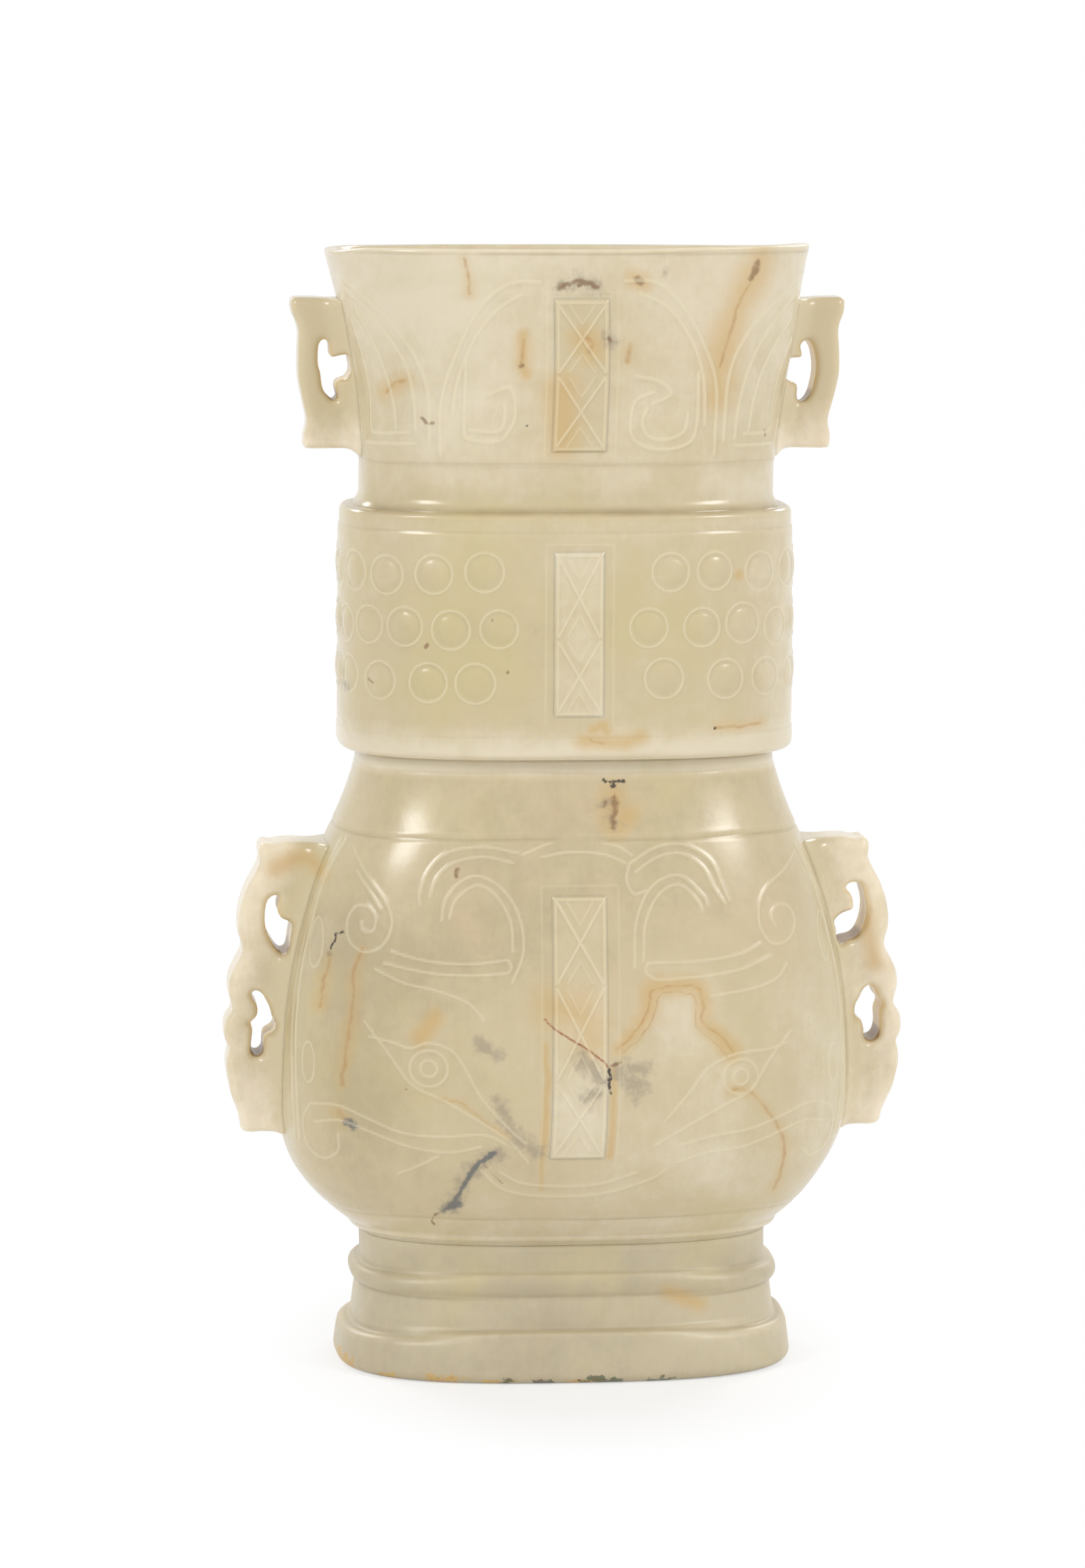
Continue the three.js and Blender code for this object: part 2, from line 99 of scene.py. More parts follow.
# The collar's wall over the neck, at its foot and how much less at its top
COLLAR_WALL = 3.8
COLLAR_TAPER = 0.5

# Unevenness of hand grinding: amount and seed
VESSEL_WAVES = (0.14, 3)
COLLAR_WAVES = (0.12, 5)
FOOT_WAVES = (0.13, 9)

# Distance between the vessel's rows of points where it is carved
FINE_STEP = 0.37
# The columns are finest on this part of the front. Their counts: there, on each side, at the back
FRONT_FINE_PART = 0.8
VESSEL_COLUMNS = (310, 16, 170)
COLLAR_COLUMNS = (320, 22, 300)
FOOT_COLUMNS = (150, 18, 190)


def linked(name, data):
    """A new object in the scene."""
    obj = bpy.data.objects.new(name, data)
    bpy.context.scene.collection.objects.link(obj)
    return obj


def direction(azimuth, elevation):
    """The way from the vase's axis to a place seen at these degrees, azimuth 0 in front."""
    azimuth, elevation = math.radians(azimuth), math.radians(elevation)
    return Vector((
        math.sin(azimuth) * math.cos(elevation),
        -math.cos(azimuth) * math.cos(elevation),
        math.sin(elevation),
    ))


def place_camera():
    """A camera at the photograph's place, with its long side as the sensor's width."""
    back = direction(CAMERA_AZIMUTH, CAMERA_ELEVATION)
    right = (-back).cross(Vector((0, 0, 1))).normalized()
    aim = Vector((0, 0, CAMERA_AIM_HEIGHT)) + right * CAMERA_AIM_RIGHT
    data = bpy.data.cameras.new("camera")
    data.sensor_fit = "AUTO"
    data.sensor_width = 36.0
    data.lens = CAMERA_FOCAL_PX / IMAGE_HEIGHT * data.sensor_width
    data.clip_start, data.clip_end = 0.01, 20.0
    camera = linked("camera", data)
    camera.rotation_mode = "QUATERNION"
    roll = Matrix.Rotation(math.radians(CAMERA_ROLL), 3, "Z").to_quaternion()
    camera.rotation_quaternion = (-back).to_track_quat("-Z", "Y") @ roll
    camera.location = (aim + back * CAMERA_DISTANCE) * MM
    bpy.context.scene.camera = camera


# Curves and distances


def smooth_line(points, closed=False, pieces=7):
    """Points along a curve that passes through the given ones (Catmull-Rom)."""
    p = np.array(points, float)
    if len(p) < 3:
        return p
    if closed:
        p = np.vstack((p[-1], p, p[:2]))
    else:
        p = np.vstack((2 * p[0] - p[1], p, 2 * p[-1] - p[-2]))
    t = np.linspace(0, 1, pieces, endpoint=False)[:, None]
    out = []
    for a, b, c, d in zip(p[:-3], p[1:-2], p[2:-1], p[3:]):
        out.append(0.5 * (2 * b + (c - a) * t + (2 * a - 5 * b + 4 * c - d) * t ** 2
                          + (3 * b - a - 3 * c + d) * t ** 3))
    if not closed:
        out.append(p[-2][None, :])
    return np.vstack(out)


def distance(u, z, line, reach, closed=False):
    """Distance of each place (u, z) to a line of straight pieces, exact up to the reach."""
    found = np.full(u.shape, reach)
    low, high = line.min(0) - reach, line.max(0) + reach
    near = (u > low[0]) & (u < high[0]) & (z > low[1]) & (z < high[1])
    if not near.any():
        return found
    place = np.stack((u[near], z[near]), 1)
    best = np.full(len(place), reach)
    ends = np.vstack((line[1:], line[:1])) if closed or len(line) == 1 else line[1:]
    for a, b in zip(line, ends):
        along = b - a
        span = max(float(along @ along), 1e-9)
        way = np.clip((place - a) @ along / span, 0, 1)
        best = np.minimum(best, np.hypot(*(place - a - way[:, None] * along).T))
    found[near] = best
    return found


def nearness(u, z, line, reach, closed=False):
    """1 on a line, falling evenly to 0 at the reach."""
    return 1 - distance(u, z, line, reach, closed) / reach


def by_height(z, levels):
    """The value at each height z, from pairs of a height and a value."""
    heights, values = zip(*levels)
    return np.interp(z, heights, values)


def bump(gap, half):
    """A smooth hill of height 1 over a gap of 0, which ends at the half width."""
    return np.clip(1 - (gap / half) ** 2, 0, 1) ** 2


def step_up(value, low, high):
    """A smooth step from 0 at the low value to 1 at the high one."""
    way = np.clip((value - low) / (high - low), 0, 1)
    return way * way * (3 - 2 * way)


def undulation(points, amount, seed):
    """The slight unevenness of hand grinding, as a height for each point."""
    random = np.random.default_rng(seed)
    flat = points.reshape(-1, 3)
    height = np.zeros(len(flat))
    for wavelength in (34.0, 27.0, 21.0, 16.0, 12.0, 9.0):
        way = random.normal(size=3)
        way *= 2 * math.pi / (wavelength * np.linalg.norm(way))
        height += wavelength / 34.0 * np.sin(flat @ way + random.uniform(0, 2 * math.pi))
    return (amount * height / 2.0).reshape(points.shape[:-1])


# The section and the wall


def running_length(across, along):
    """Length of a line up to each of its points, from the steps between them."""
    return np.concatenate(((0,), np.cumsum(np.hypot(across, along))))


def unit_section(part):
    """Unit width and depth of the section at parts of the way from mid front (0) to its end (1)."""
    angle = np.linspace(0, math.pi / 2, 20001)
    wide = np.sin(angle) ** (2 / SECTION_EXPONENT)
    deep = np.cos(angle) ** (2 / SECTION_EXPONENT)
    length = running_length(np.diff(wide), SECTION_RATIO * np.diff(deep))
    length /= length[-1]
    return np.interp(part, length, wide), np.interp(part, length, deep)


def quarter_length(sizes):
    """Length of a quarter of each section, from mid front to its end."""
    wide, deep = unit_section(np.linspace(0, 1, 400))
    x, y = sizes[:, :1] * wide, sizes[:, 1:] * deep
    return np.hypot(np.diff(x, axis=1), np.diff(y, axis=1)).sum(1)


def loop_turns(front_count, side_count, back_count):
    """Places of a loop's columns: 0 is mid front, 1 the right end, -1 the left end, 2 mid back."""
    fine = np.linspace(-FRONT_FINE_PART, FRONT_FINE_PART, front_count, endpoint=False)
    right = np.linspace(FRONT_FINE_PART, 1, side_count, endpoint=False)
    back = np.linspace(1, 3, back_count, endpoint=False)
    left = np.linspace(3, 4 - FRONT_FINE_PART, side_count, endpoint=False)
    turns = np.concatenate((fine, right, back, left))
    return np.where(turns > 2, turns - 4, turns)


def ring_points(z, sizes, turns):
    """Rings of points at the heights z, with the u of each point: arrays of rows by columns."""
    part = np.where(abs(turns) <= 1, abs(turns), 2 - abs(turns))
    side = np.where(abs(turns) <= 1, -1.0, 1.0)
    wide, deep = unit_section(part)
    x = sizes[:, :1] * wide * np.sign(turns)
    y = sizes[:, 1:] * deep * side
    u = quarter_length(sizes)[:, None] * part * np.sign(turns) * -side
    z = np.broadcast_to(z[:, None], x.shape)
    return np.stack((x, y, z), 2), u, np.array(z)


def rings_at(z, sizes, turns):
    """Rings of points at the heights z, by themselves."""
    return ring_points(z, sizes, turns)[0]


def outward(points):
    """Unit normals of rings whose columns run round and whose rows run up."""
    across = np.roll(points, -1, 1) - np.roll(points, 1, 1)
    up = np.gradient(points, axis=0)
    normal = np.cross(across, up)
    return normal / np.maximum(np.linalg.norm(normal, axis=2, keepdims=True), 1e-9)


def pushed_out(rings, amount):
    """Rings of points, each point moved outward by its own amount."""
    return rings + outward(rings) * amount[:, :, None]


def way_up(z, low, high):
    """How far z is on the way from low to high, from 0 to 1."""
    return np.clip((z - low) / (high - low), 0, 1)


def between(start, stop, part):
    """Sizes at a part of the way from the start's to the stop's."""
    return start + (stop - start) * part


def wall_sizes(z):
    """Half width and half depth of the outer wall at the heights z."""
    z = np.atleast_1d(np.asarray(z, float))[:, None]
    edge_z = BELLY_BOTTOM_Z + BELLY_EDGE
    rise = np.clip((edge_z - z) / BELLY_EDGE, 0, 1)
    edge = BELLY_FOOT - BELLY_EDGE * (1 - np.sqrt(1 - rise ** 2))
    lower = between(BELLY, BELLY_FOOT, (1 - way_up(z, edge_z, BELLY_Z)) ** BELLY_LOWER_POWER)
    upper = between(BELLY, SHOULDER, way_up(z, BELLY_Z, SHOULDER_Z) ** BELLY_UPPER_POWER)
    fall = 1 - way_up(z, SHOULDER_Z, SHOULDER_TOP_Z)
    shoulder = between(SHOULDER_TOP, SHOULDER, fall ** SHOULDER_POWER)
    neck = between(NECK, MOUTH_FOOT, way_up(z, SHOULDER_TOP_Z, MOUTH_FOOT_Z))
    mouth = between(MOUTH_FOOT, RIM, way_up(z, MOUTH_FOOT_Z, RIM_Z) ** MOUTH_POWER)
    choices = ((edge_z, edge), (BELLY_Z, lower), (SHOULDER_Z, upper), (SHOULDER_TOP_Z, shoulder),
               (MOUTH_FOOT_Z, neck))
    return np.select([z <= top for top, _ in choices], [sizes for _, sizes in choices], mouth)


def hollow_sizes(z):
    """Half width and half depth of the hollow at the heights z."""
    z = np.atleast_1d(np.asarray(z, float))[:, None]
    bore, widest = NECK - NECK_WALL, BELLY - BELLY_WALL
    floor = BELLY_FOOT - BELLY_WALL
    lower = between(widest, floor, (1 - way_up(z, FLOOR_Z, BELLY_Z)) ** BELLY_LOWER_POWER)
    upper = between(widest, bore, way_up(z, BELLY_Z, SHOULDER_TOP_Z) ** BELLY_UPPER_POWER)
    way = way_up(z, MOUTH_FOOT_Z, RIM_Z)
    wall = between(NECK_WALL, RIM_WALL, way)
    mouth = between(MOUTH_FOOT, RIM, way ** MOUTH_POWER) - wall
    low, high = MOUTH_FOOT_Z - HOLLOW_BLEND, MOUTH_FOOT_Z + HOLLOW_BLEND
    joined = between(bore, mouth, step_up(z, low, high))
    return np.select([z < BELLY_Z, z < low], [lower, upper], joined)


def collar_sizes(z):
    """Half width and half depth of the collar's plain outside at the heights z."""
    neck = between(NECK, MOUTH_FOOT, way_up(z, SHOULDER_TOP_Z, MOUTH_FOOT_Z)[:, None])
    return neck + COLLAR_WALL - COLLAR_TAPER * way_up(z, SHOULDER_TOP_Z, COLLAR_TOP_Z)[:, None]


# Meshes

# Sideways lean of the body: height, spread and amount
LEANS = ((36.0, 9.0, -0.75), (180.0, 14.0, 0.5))


def ring_faces(start, count, next_start, next_count):
    """Faces between two closed rings, the second with as many points or a whole part of them."""
    i = np.arange(next_count)
    j = (i + 1) % next_count
    if count == next_count:
        return np.stack((start + i, start + j, next_start + j, next_start + i), 1).tolist()
    every = count // next_count
    return [[next_start + b, next_start + a] + [start + (every * a + k) % count
            for k in range(every + 1)] for a, b in zip(i, j)]


def get_points(mesh, unit=MM):
    """The mesh's points in millimetres. The unit is 1 where the mesh itself is in millimetres."""
    co = np.empty(len(mesh.vertices) * 3, np.float32)
    mesh.vertices.foreach_get("co", co)
    return co.reshape(-1, 3).astype(float) / unit


def set_points(mesh, points, unit=MM):
    """Moves the mesh's points to these places in millimetres, with the unit as in get_points."""
    mesh.vertices.foreach_set("co", (points * unit).ravel())
    mesh.update()


def new_mesh(name, points, faces):
    """A smooth shaded mesh from points in millimetres."""
    mesh = bpy.data.meshes.new(name)
    mesh.from_pydata((np.asarray(points) * MM).tolist(), [], faces)
    mesh.validate()
    mesh.shade_smooth()
    mesh.update()
    return mesh


def lean(mesh):
    """Moves points a little sideways by height: the hand carved body isn't quite symmetrical."""
    points = get_points(mesh)
    for height, spread, amount in LEANS:
        points[:, 0] += amount * np.exp(-((points[:, 2] - height) / spread) ** 2)
    set_points(mesh, points)


def place(node, mesh, slot, material):
    """Puts a finished mesh in the scene in place of a CAD node."""
    obj = linked(f"jade_{node}", mesh)
    mesh.materials.append(material)
    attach(obj, "root")
    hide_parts(node)


def closed_skin(name, rings, sleeve=False):
    """One mesh from closed rings in order. A sleeve's last ring joins its first, others are capped."""
    starts = np.concatenate(((0,), np.cumsum([len(r) for r in rings])))
    points = np.vstack(rings)
    faces = []
    for k in range(len(rings) - 1):
        faces += ring_faces(starts[k], len(rings[k]), starts[k + 1], len(rings[k + 1]))
    first, last, middle = len(rings[0]), len(rings[-1]), len(points)
    if sleeve:
        faces += ring_faces(starts[-2], last, 0, first)
    else:
        points = np.vstack((points, rings[0].mean(0), rings[-1].mean(0)))
        faces += [[middle, (i + 1) % first, i] for i in range(first)]
        faces += [[middle + 1, starts[-2] + i, starts[-2] + (i + 1) % last] for i in range(last)]
    return new_mesh(name, points, faces)


def set_field(mesh, name, values):
    """A number for each point, which the materials read."""
    field = mesh.attributes.new(name, "FLOAT", "POINT")
    field.data.foreach_set("value", np.ascontiguousarray(values, np.float32))


def set_carved(mesh, rings_before, relief):
    """Writes the carving's height on the rows of the skin that carry it, and 0 elsewhere."""
    carved = np.zeros(len(mesh.vertices))
    start = sum(len(ring) for ring in rings_before)
    carved[start:start + relief.size] = relief.ravel()
    set_field(mesh, "carved", carved)


# Carving on the belly: an animal mask of thin raised lines, as (u, z)
MASK_LINES = (
    # brows over the nose
    ((-9.9, 95), (-4.4, 97.1), (1.1, 97.4), (6.6, 96.5), (9.4, 94.8)),
    ((-6.5, 94.6), (-1.6, 95.4), (4.5, 95.0), (8.3, 93.4)),
    # horns
    ((-10.6, 95.3), (-16.7, 96.3), (-22.9, 95.3), (-26.4, 92.2), (-28.1, 88.2), (-28.1, 86.2)),
    ((-11.5, 93.6), (-16.7, 94.6), (-21.9, 93.6), (-24.9, 91), (-26.3, 87.6)),
    ((-24.3, 83.6), (-23.6, 87), (-20.9, 90.3), (-17.4, 91.3), (-13.4, 89), (-10.6, 84.3),
     (-10, 78.3), (-12, 72.9)),
    ((-22.9, 84), (-22, 86.8), (-19.6, 89.1), (-17.2, 89.7), (-14.4, 87.7), (-12.2, 83.6),
     (-11.8, 78.4)),
    ((9, 93.4), (13.6, 96), (18.5, 96.5), (23.5, 93.7), (25.6, 89.6), (27, 86.5)),
    ((10, 91.9), (14, 94.4), (18.3, 94.9), (22.2, 92.4), (24.2, 88.8), (26.2, 86)),
    ((9.6, 75.3), (10, 83.4), (12.8, 89.3), (17.7, 91.2), (21.9, 87.7), (23, 85.7)),
    ((11.2, 76.5), (11.6, 83), (14, 87.9), (17.7, 89.6), (20.8, 87), (22, 84.8)),
    ((9, 93.4), (8.4, 90.6), (9.6, 88.2), (11.8, 88.6)),
    # long lines under the horns
    ((-33.4, 78), (-26.4, 76.5), (-19, 76.2), (-12.7, 76.9)),
    ((-34.8, 75.9), (-26.4, 74.5), (-19, 74.2), (-12.7, 74.6)),
    ((-12.7, 76.9), (-12.1, 75.7), (-12.7, 74.6)),
    ((12, 76.2), (21.8, 76.3), (29.1, 77.3), (33, 78.8)),
    ((13.4, 73.2), (21.8, 73.6), (29.1, 74.6), (35, 76.6)),
    ((12, 76.2), (11.6, 74.6), (13.4, 73.2)),
    ((23.3, 70.1), (31.3, 71.1), (36.1, 72.6), (38.2, 75)),
    ((-36.5, 74.8), (-31, 72.6), (-25, 71.4), (-19.8, 69.4), (-16.9, 66.4)),
    # tear shaped ears with a spiral
    ((-41.9, 95.3), (-37.4, 89.8), (-34.2, 86), (-33.3, 82.4), (-35.2, 78.8), (-38.6, 77.6),
     (-41.6, 79.2), (-42.3, 82.4), (-40.6, 85.2), (-38, 85.4), (-36.4, 83.6), (-36.9, 81.4),
     (-38.8, 81.2), (-39.4, 82.8)),
    ((-40.6, 91.4), (-37.6, 88), (-35.4, 85)),
    ((43, 93.6), (39, 91), (35, 88.7), (32.9, 85.6), (32.9, 81.6), (35.4, 78.6), (39, 79.2),
     (40.6, 82), (39.4, 84.6), (36.8, 85.2), (35.3, 83.4), (36.2, 81.6)),
    # eyes
    ((-38.4, 65.6), (-34, 60.3), (-29.8, 54.9), (-24.3, 52.3), (-19.5, 49.6), (-12.7, 45.4),
     (-8.5, 41.1)),
    ((-37.6, 63), (-33.2, 62.2), (-30, 61.3), (-26.6, 62.3), (-22.6, 61), (-20, 57.4),
     (-17.6, 53), (-13, 47.8), (-9.4, 44.6)),
    ((38.9, 63), (34.6, 58.6), (30.8, 53.2), (25.5, 50.6), (20, 47.6), (13.6, 43.8)),
    ((38, 61), (34, 60.2), (30.4, 60), (26.8, 59.4), (22.8, 57.4), (19.4, 53.2), (15, 48)),
    # cheeks and lower curls
    ((-50.3, 49.9), (-43.9, 50.3), (-37.7, 48.4), (-31.2, 46.2), (-24.3, 45.7), (-16.8, 46.1),
     (-12.6, 44.4)),
    ((-49, 46.8), (-43, 47.6), (-37, 46), (-30, 43.8), (-22.9, 42.9), (-17, 44)),
    ((-50.3, 49.9), (-52.2, 46.6), (-50.6, 42.4), (-46.6, 40.4), (-43.2, 42), (-43.4, 45.2)),
    ((-31.6, 38.6), (-28, 40.2), (-24.4, 42.2)),
    ((49.2, 48.9), (43.5, 49.9), (37.5, 48.2), (31, 46.2), (24.4, 45.3), (17.6, 43.6)),
    ((47.6, 46), (42.6, 46.8), (36.6, 45.2), (30, 43), (23.5, 42.2), (18, 40.6)),
    ((49.2, 48.9), (51, 45.6), (49.6, 41.6), (45.6, 39.8), (42.4, 41.6)),
    # jaw under the flange
    ((-16.7, 39.7), (-12.5, 36.1), (-5.6, 34.8), (4.7, 35), (13, 37.4), (16.2, 39.4)),
    ((-13.4, 39.4), (-9.6, 37.4), (-4.4, 36.7), (3.8, 36.8), (11, 38.9)),
)
MASK_RINGS = (
    ((-26.7, 57.8), 3.4, 3.2), ((-26.7, 57.8), 1.5, 1.5), ((28.9, 55.6), 3.3, 3.1),
    ((28.9, 55.6), 1.4, 1.4), ((-50.2, 78.2), 2.2, 4.3), ((49.4, 78.6), 2.2, 4.3),
    ((-50.9, 57.2), 1.8, 3.6), ((50.2, 56.2), 1.8, 3.4),
)
# Frames round the flanges, and rims beside the belly handles
FLANGE_BORDERS = (
    ((-6.7, 40.2), (-6.7, 89.6), (6.9, 89.6), (6.9, 40.2)),
    ((-6.1, 164.6), (-6.1, 193), (6.3, 193), (6.3, 164.6)),
)
HANDLE_BORDERS = (
    ((-44.6, 96), (-50.2, 88.4), (-53.6, 78), (-55.2, 66), (-55, 54), (-53.2, 43.4)),
    ((-46.4, 95.6), (-52, 87.4), (-55.4, 77), (-57, 66), (-56.8, 54), (-55, 43)),
    ((44.4, 94.6), (49.6, 86.4), (52.8, 77), (54.4, 66), (54.2, 54), (52.4, 43.4)),
    ((46.2, 94.2), (51.4, 85.8), (54.6, 76.6), (56.2, 66), (56, 54), (54.2, 43)),
)

# Carving round the mouth: pointed blades with hooked scrolls in them, as (u, z)
BLADE_LINES = (
    ((-24.3, 164.8), (-24.3, 175.3), (-20.6, 185.6), (-16.8, 191.4), (-12.2, 194.4), (-7.3, 194.6)),
    ((-22.4, 172), (-21.6, 178), (-18.6, 185.4), (-14.8, 190), (-10.4, 192.6)),
    ((24.2, 164.8), (24, 176.8), (21.6, 184), (18, 190.2), (13.2, 194.4), (7.6, 194.8)),
    ((22.2, 170), (21.4, 179), (18.8, 185.8), (14.8, 190.6), (10.2, 192.8)),
    ((-47.4, 195.2), (-40.6, 192.2), (-34.8, 188.5), (-29.6, 182.2), (-26.8, 175.2), (-26.3, 167)),
    ((-45.4, 192.6), (-39.2, 189.8), (-35.2, 186), (-31.2, 180.4), (-29.4, 174.4), (-28.9, 169.2)),
    ((-43.2, 190), (-38.6, 184.6), (-35.6, 179.4), (-33.5, 173.4), (-32.9, 169.2)),
    ((-45.4, 188), (-41.8, 181.6), (-39.8, 175), (-39.6, 169.6), (-38.2, 168.2), (-30.2, 168.6)),
    ((-42.8, 170.4), (-42.2, 167), (-40, 166.4), (-28.9, 166.6)),
    ((47, 195.4), (41.2, 193.4), (34.6, 190), (29.6, 185.4), (26.4, 178.4), (25.9, 167)),
    ((44.6, 192.4), (38.4, 189.6), (33.4, 185), (30.2, 179), (28.6, 172.6), (28.2, 167.6)),
    ((42.6, 188.6), (37.4, 184.6), (33.8, 179.6), (31.8, 173.6), (31.2, 169)),
    ((43.6, 184.6), (39.8, 180), (37.6, 174), (37.2, 168.8), (30.2, 168.2)),
    ((41.4, 170.2), (40.4, 166.8), (38, 166.2), (28.6, 166.2)),
    # scrolls
    ((-20.3, 182), (-20.2, 169.6), (-19.2, 167.6), (-14.4, 167.2), (-12.2, 169.4), (-11.4, 172.6),
     (-12.5, 176.6), (-16.2, 175.4)),
    ((-19.3, 169.2), (-14.4, 169), (-13.2, 171.2), (-13.4, 173.6)),
    ((20.6, 179), (20.6, 169.6), (18.8, 166.6), (13.8, 165.8), (9.6, 167.4), (8.7, 171),
     (9.6, 174.4), (12.6, 175.8)),
    ((18.9, 172), (18.4, 169), (15.6, 167.6), (12.2, 168), (10.8, 170.4), (11.6, 173)),
    ((9.6, 178.6), (13.4, 177.8), (15.8, 175.6), (12.6, 173.8)),
)
LINE_HALF_WIDTH = 0.5
MASK_RISE = 0.13
BLADE_RISE = 0.2
BORDER_RISE = 0.08
HANDLE_BORDER_RISE = 0.24
HANDLE_BORDER_HALF_WIDTH = 0.8

# Grooves and thin rings that run right round: height, half width, depth (minus stands proud)
WALL_RINGS = (
    (29.9, 0.5, 0.1), (97.4, 0.6, 0.13), (98.5, 0.6, -0.05), (110.2, 0.7, -0.05),
    (108.9, 0.5, 0.08), (163.2, 0.45, 0.1), (164.3, 0.8, -0.04),
)
# The neck is set back in a shallow band, and flares out into the collar's top.
NECK_BAND_DEPTH = 0.28
NECK_FLARE = 1.3
NECK_FLARE_HEIGHT = 2.6
# Painted shade, with some dirt, in the sharp corners of the mouldings: height, half width and how dark
CREASE_SHADE_AND_DIRT = (
    (29.8, 0.35, 0.12), (19.3, 0.5, 0.22), (14.8, 0.4, 0.2), (9.3, 0.45, 0.35),
    (97.4, 0.4, 0.08), (115.6, 0.3, 0.15), (151.4, 0.3, 0.15), (154.9, 1.0, 0.5),
    (163.1, 0.35, 0.1), (200.0, 0.5, 0.35),
)


def ellipse(centre, half_wide, half_high):
    """Points round an upright ellipse."""
    angle = np.linspace(0, 2 * math.pi, 28, endpoint=False)
    return np.stack((centre[0] + half_wide * np.cos(angle), centre[1] + half_high * np.sin(angle)), 1)


def raise_line(height, u, z, line, closed=False, half=LINE_HALF_WIDTH, rise=MASK_RISE):
    """Adds a raised line to the heights, without piling up where lines cross."""
    np.maximum(height, rise * bump(distance(u, z, line, half * 1.6, closed), half), out=height)


def wall_carving(u, z):
    """Height of the carving over the plain wall at each place (u, z)."""
    height = np.zeros(u.shape)
    for points in MASK_LINES:
        raise_line(height, u, z, smooth_line(points))
    for points in BLADE_LINES:
        raise_line(height, u, z, smooth_line(points), rise=BLADE_RISE)
    for centre, half_wide, half_high in MASK_RINGS:
        raise_line(height, u, z, ellipse(centre, half_wide, half_high), closed=True)
    for points in FLANGE_BORDERS:
        raise_line(height, u, z, np.array(points, float), rise=BORDER_RISE)
    for points in HANDLE_BORDERS:
        raise_line(height, u, z, smooth_line(points), half=HANDLE_BORDER_HALF_WIDTH,
                   rise=HANDLE_BORDER_RISE)
    sway = 0.12 * np.sin(u / 7.0) + 0.08 * np.sin(u / 3.1 + 1.0)
    for ring_z, half, depth in WALL_RINGS:
        height -= depth * bump(abs(z + sway - ring_z), half)
    return height


# The vessel


def lift_rim(mesh):
    """Carved uneven: the front of the rim stands higher than its back, most of all at the right."""
    points = get_points(mesh)
    x, y, z = points.T
    lift = (0.7 * step_up(x, -43, -36) + 0.5 * step_up(x, 5, 30)) * step_up(-y, -24, 4)
    points[:, 2] += lift * step_up(z, 186, RIM_Z - 1)
    set_points(mesh, points)


def vessel_mesh():
    """The hollow wall: underside, belly, neck, rolled rim, hollow and floor, as one closed skin."""
    turns = loop_turns(*VESSEL_COLUMNS)
    edge = BELLY_BOTTOM_Z + BELLY_EDGE * (1 - np.cos(np.linspace(0, math.pi / 2, 8)))
    belly = np.arange(edge[-1] + 0.25, SHOULDER_Z + 2, FINE_STEP)
    shoulder = np.arange(belly[-1] + 0.8, SHOULDER_TOP_Z - 3.2, 0.9)
    ledge = np.arange(shoulder[-1] + 0.4, SHOULDER_TOP_Z + 0.5, 0.35)
    hidden = np.linspace(SHOULDER_TOP_Z + 1.2, COLLAR_TOP_Z - 1.2, 6)
    neck = np.arange(COLLAR_TOP_Z - 0.6, MOUTH_FOOT_Z - 1.6, 0.45)
    mouth = np.arange(neck[-1] + 0.5, RIM_Z - LIP_EDGE, FINE_STEP)
    z = np.concatenate((edge, belly, shoulder, ledge, hidden, neck, mouth))
    points, u, heights = ring_points(z, wall_sizes(z), turns)
    relief = wall_carving(u, heights)
    band = NECK_BAND_DEPTH * (1 - step_up(heights, 162.4, 163.3)) * (heights > COLLAR_TOP_Z - 3)
    foot_of_neck = NECK_FLARE * np.clip(1 - (heights - COLLAR_TOP_Z) / NECK_FLARE_HEIGHT, 0, 1) ** 2.2
    set_back = np.where(heights > COLLAR_TOP_Z - 1, foot_of_neck - band, -band)
    uneven = undulation(points, *VESSEL_WAVES)
    fade = step_up(heights, BELLY_BOTTOM_Z, BELLY_BOTTOM_Z + 2)
    points = pushed_out(points, (relief + uneven) * fade + set_back)
    spigot_z = np.array((BELLY_FOOT_Z, BELLY_FOOT_Z, BELLY_BOTTOM_Z - 0.15, BELLY_BOTTOM_Z))
    spigot = rings_at(spigot_z, STEM + np.array(((-0.5,), (0.02,), (0.02,), (0.2,))), turns)

    # The rim's lip is flat, with small round edges.
    turn = np.linspace(0.2, 1, 5) * math.pi / 2
    edge_rise, edge_run = LIP_EDGE * (1 - np.sin(turn)), LIP_EDGE * (1 - np.cos(turn))
    inset = np.concatenate((edge_run, (1.1, 1.7), RIM_WALL - 0.5 - edge_run[::-1]))
    lip_z = RIM_Z - np.concatenate((edge_rise, (0, 0.05), 0.1 + edge_rise[::-1]))
    lip = rings_at(lip_z, RIM - inset[:, None], turns)
    down = np.concatenate((np.linspace(RIM_Z - 2.2, MOUTH_FOOT_Z - 8, 22),
                           np.linspace(MOUTH_FOOT_Z - 14, SHOULDER_TOP_Z - 6, 8),
                           np.linspace(SHOULDER_TOP_Z - 12, BELLY_Z - 4, 10),
                           FLOOR_Z + 12 * np.linspace(1, 0, 7) ** 2))
    inner = rings_at(down, hollow_sizes(down), turns[::2])
    base = [spigot[0] * (s, s, 1) for s in (0.4, 0.75)] + list(spigot)
    floor = [inner[-1] * (s, s, 1) - (0, 0, 0.5) for s in (0.93, 0.8, 0.6, 0.35)]
    mesh = closed_skin("vessel", base + list(points) + list(lip) + list(inner) + floor)
    set_carved(mesh, base, relief * fade)
    lift_rim(mesh)
    return mesh


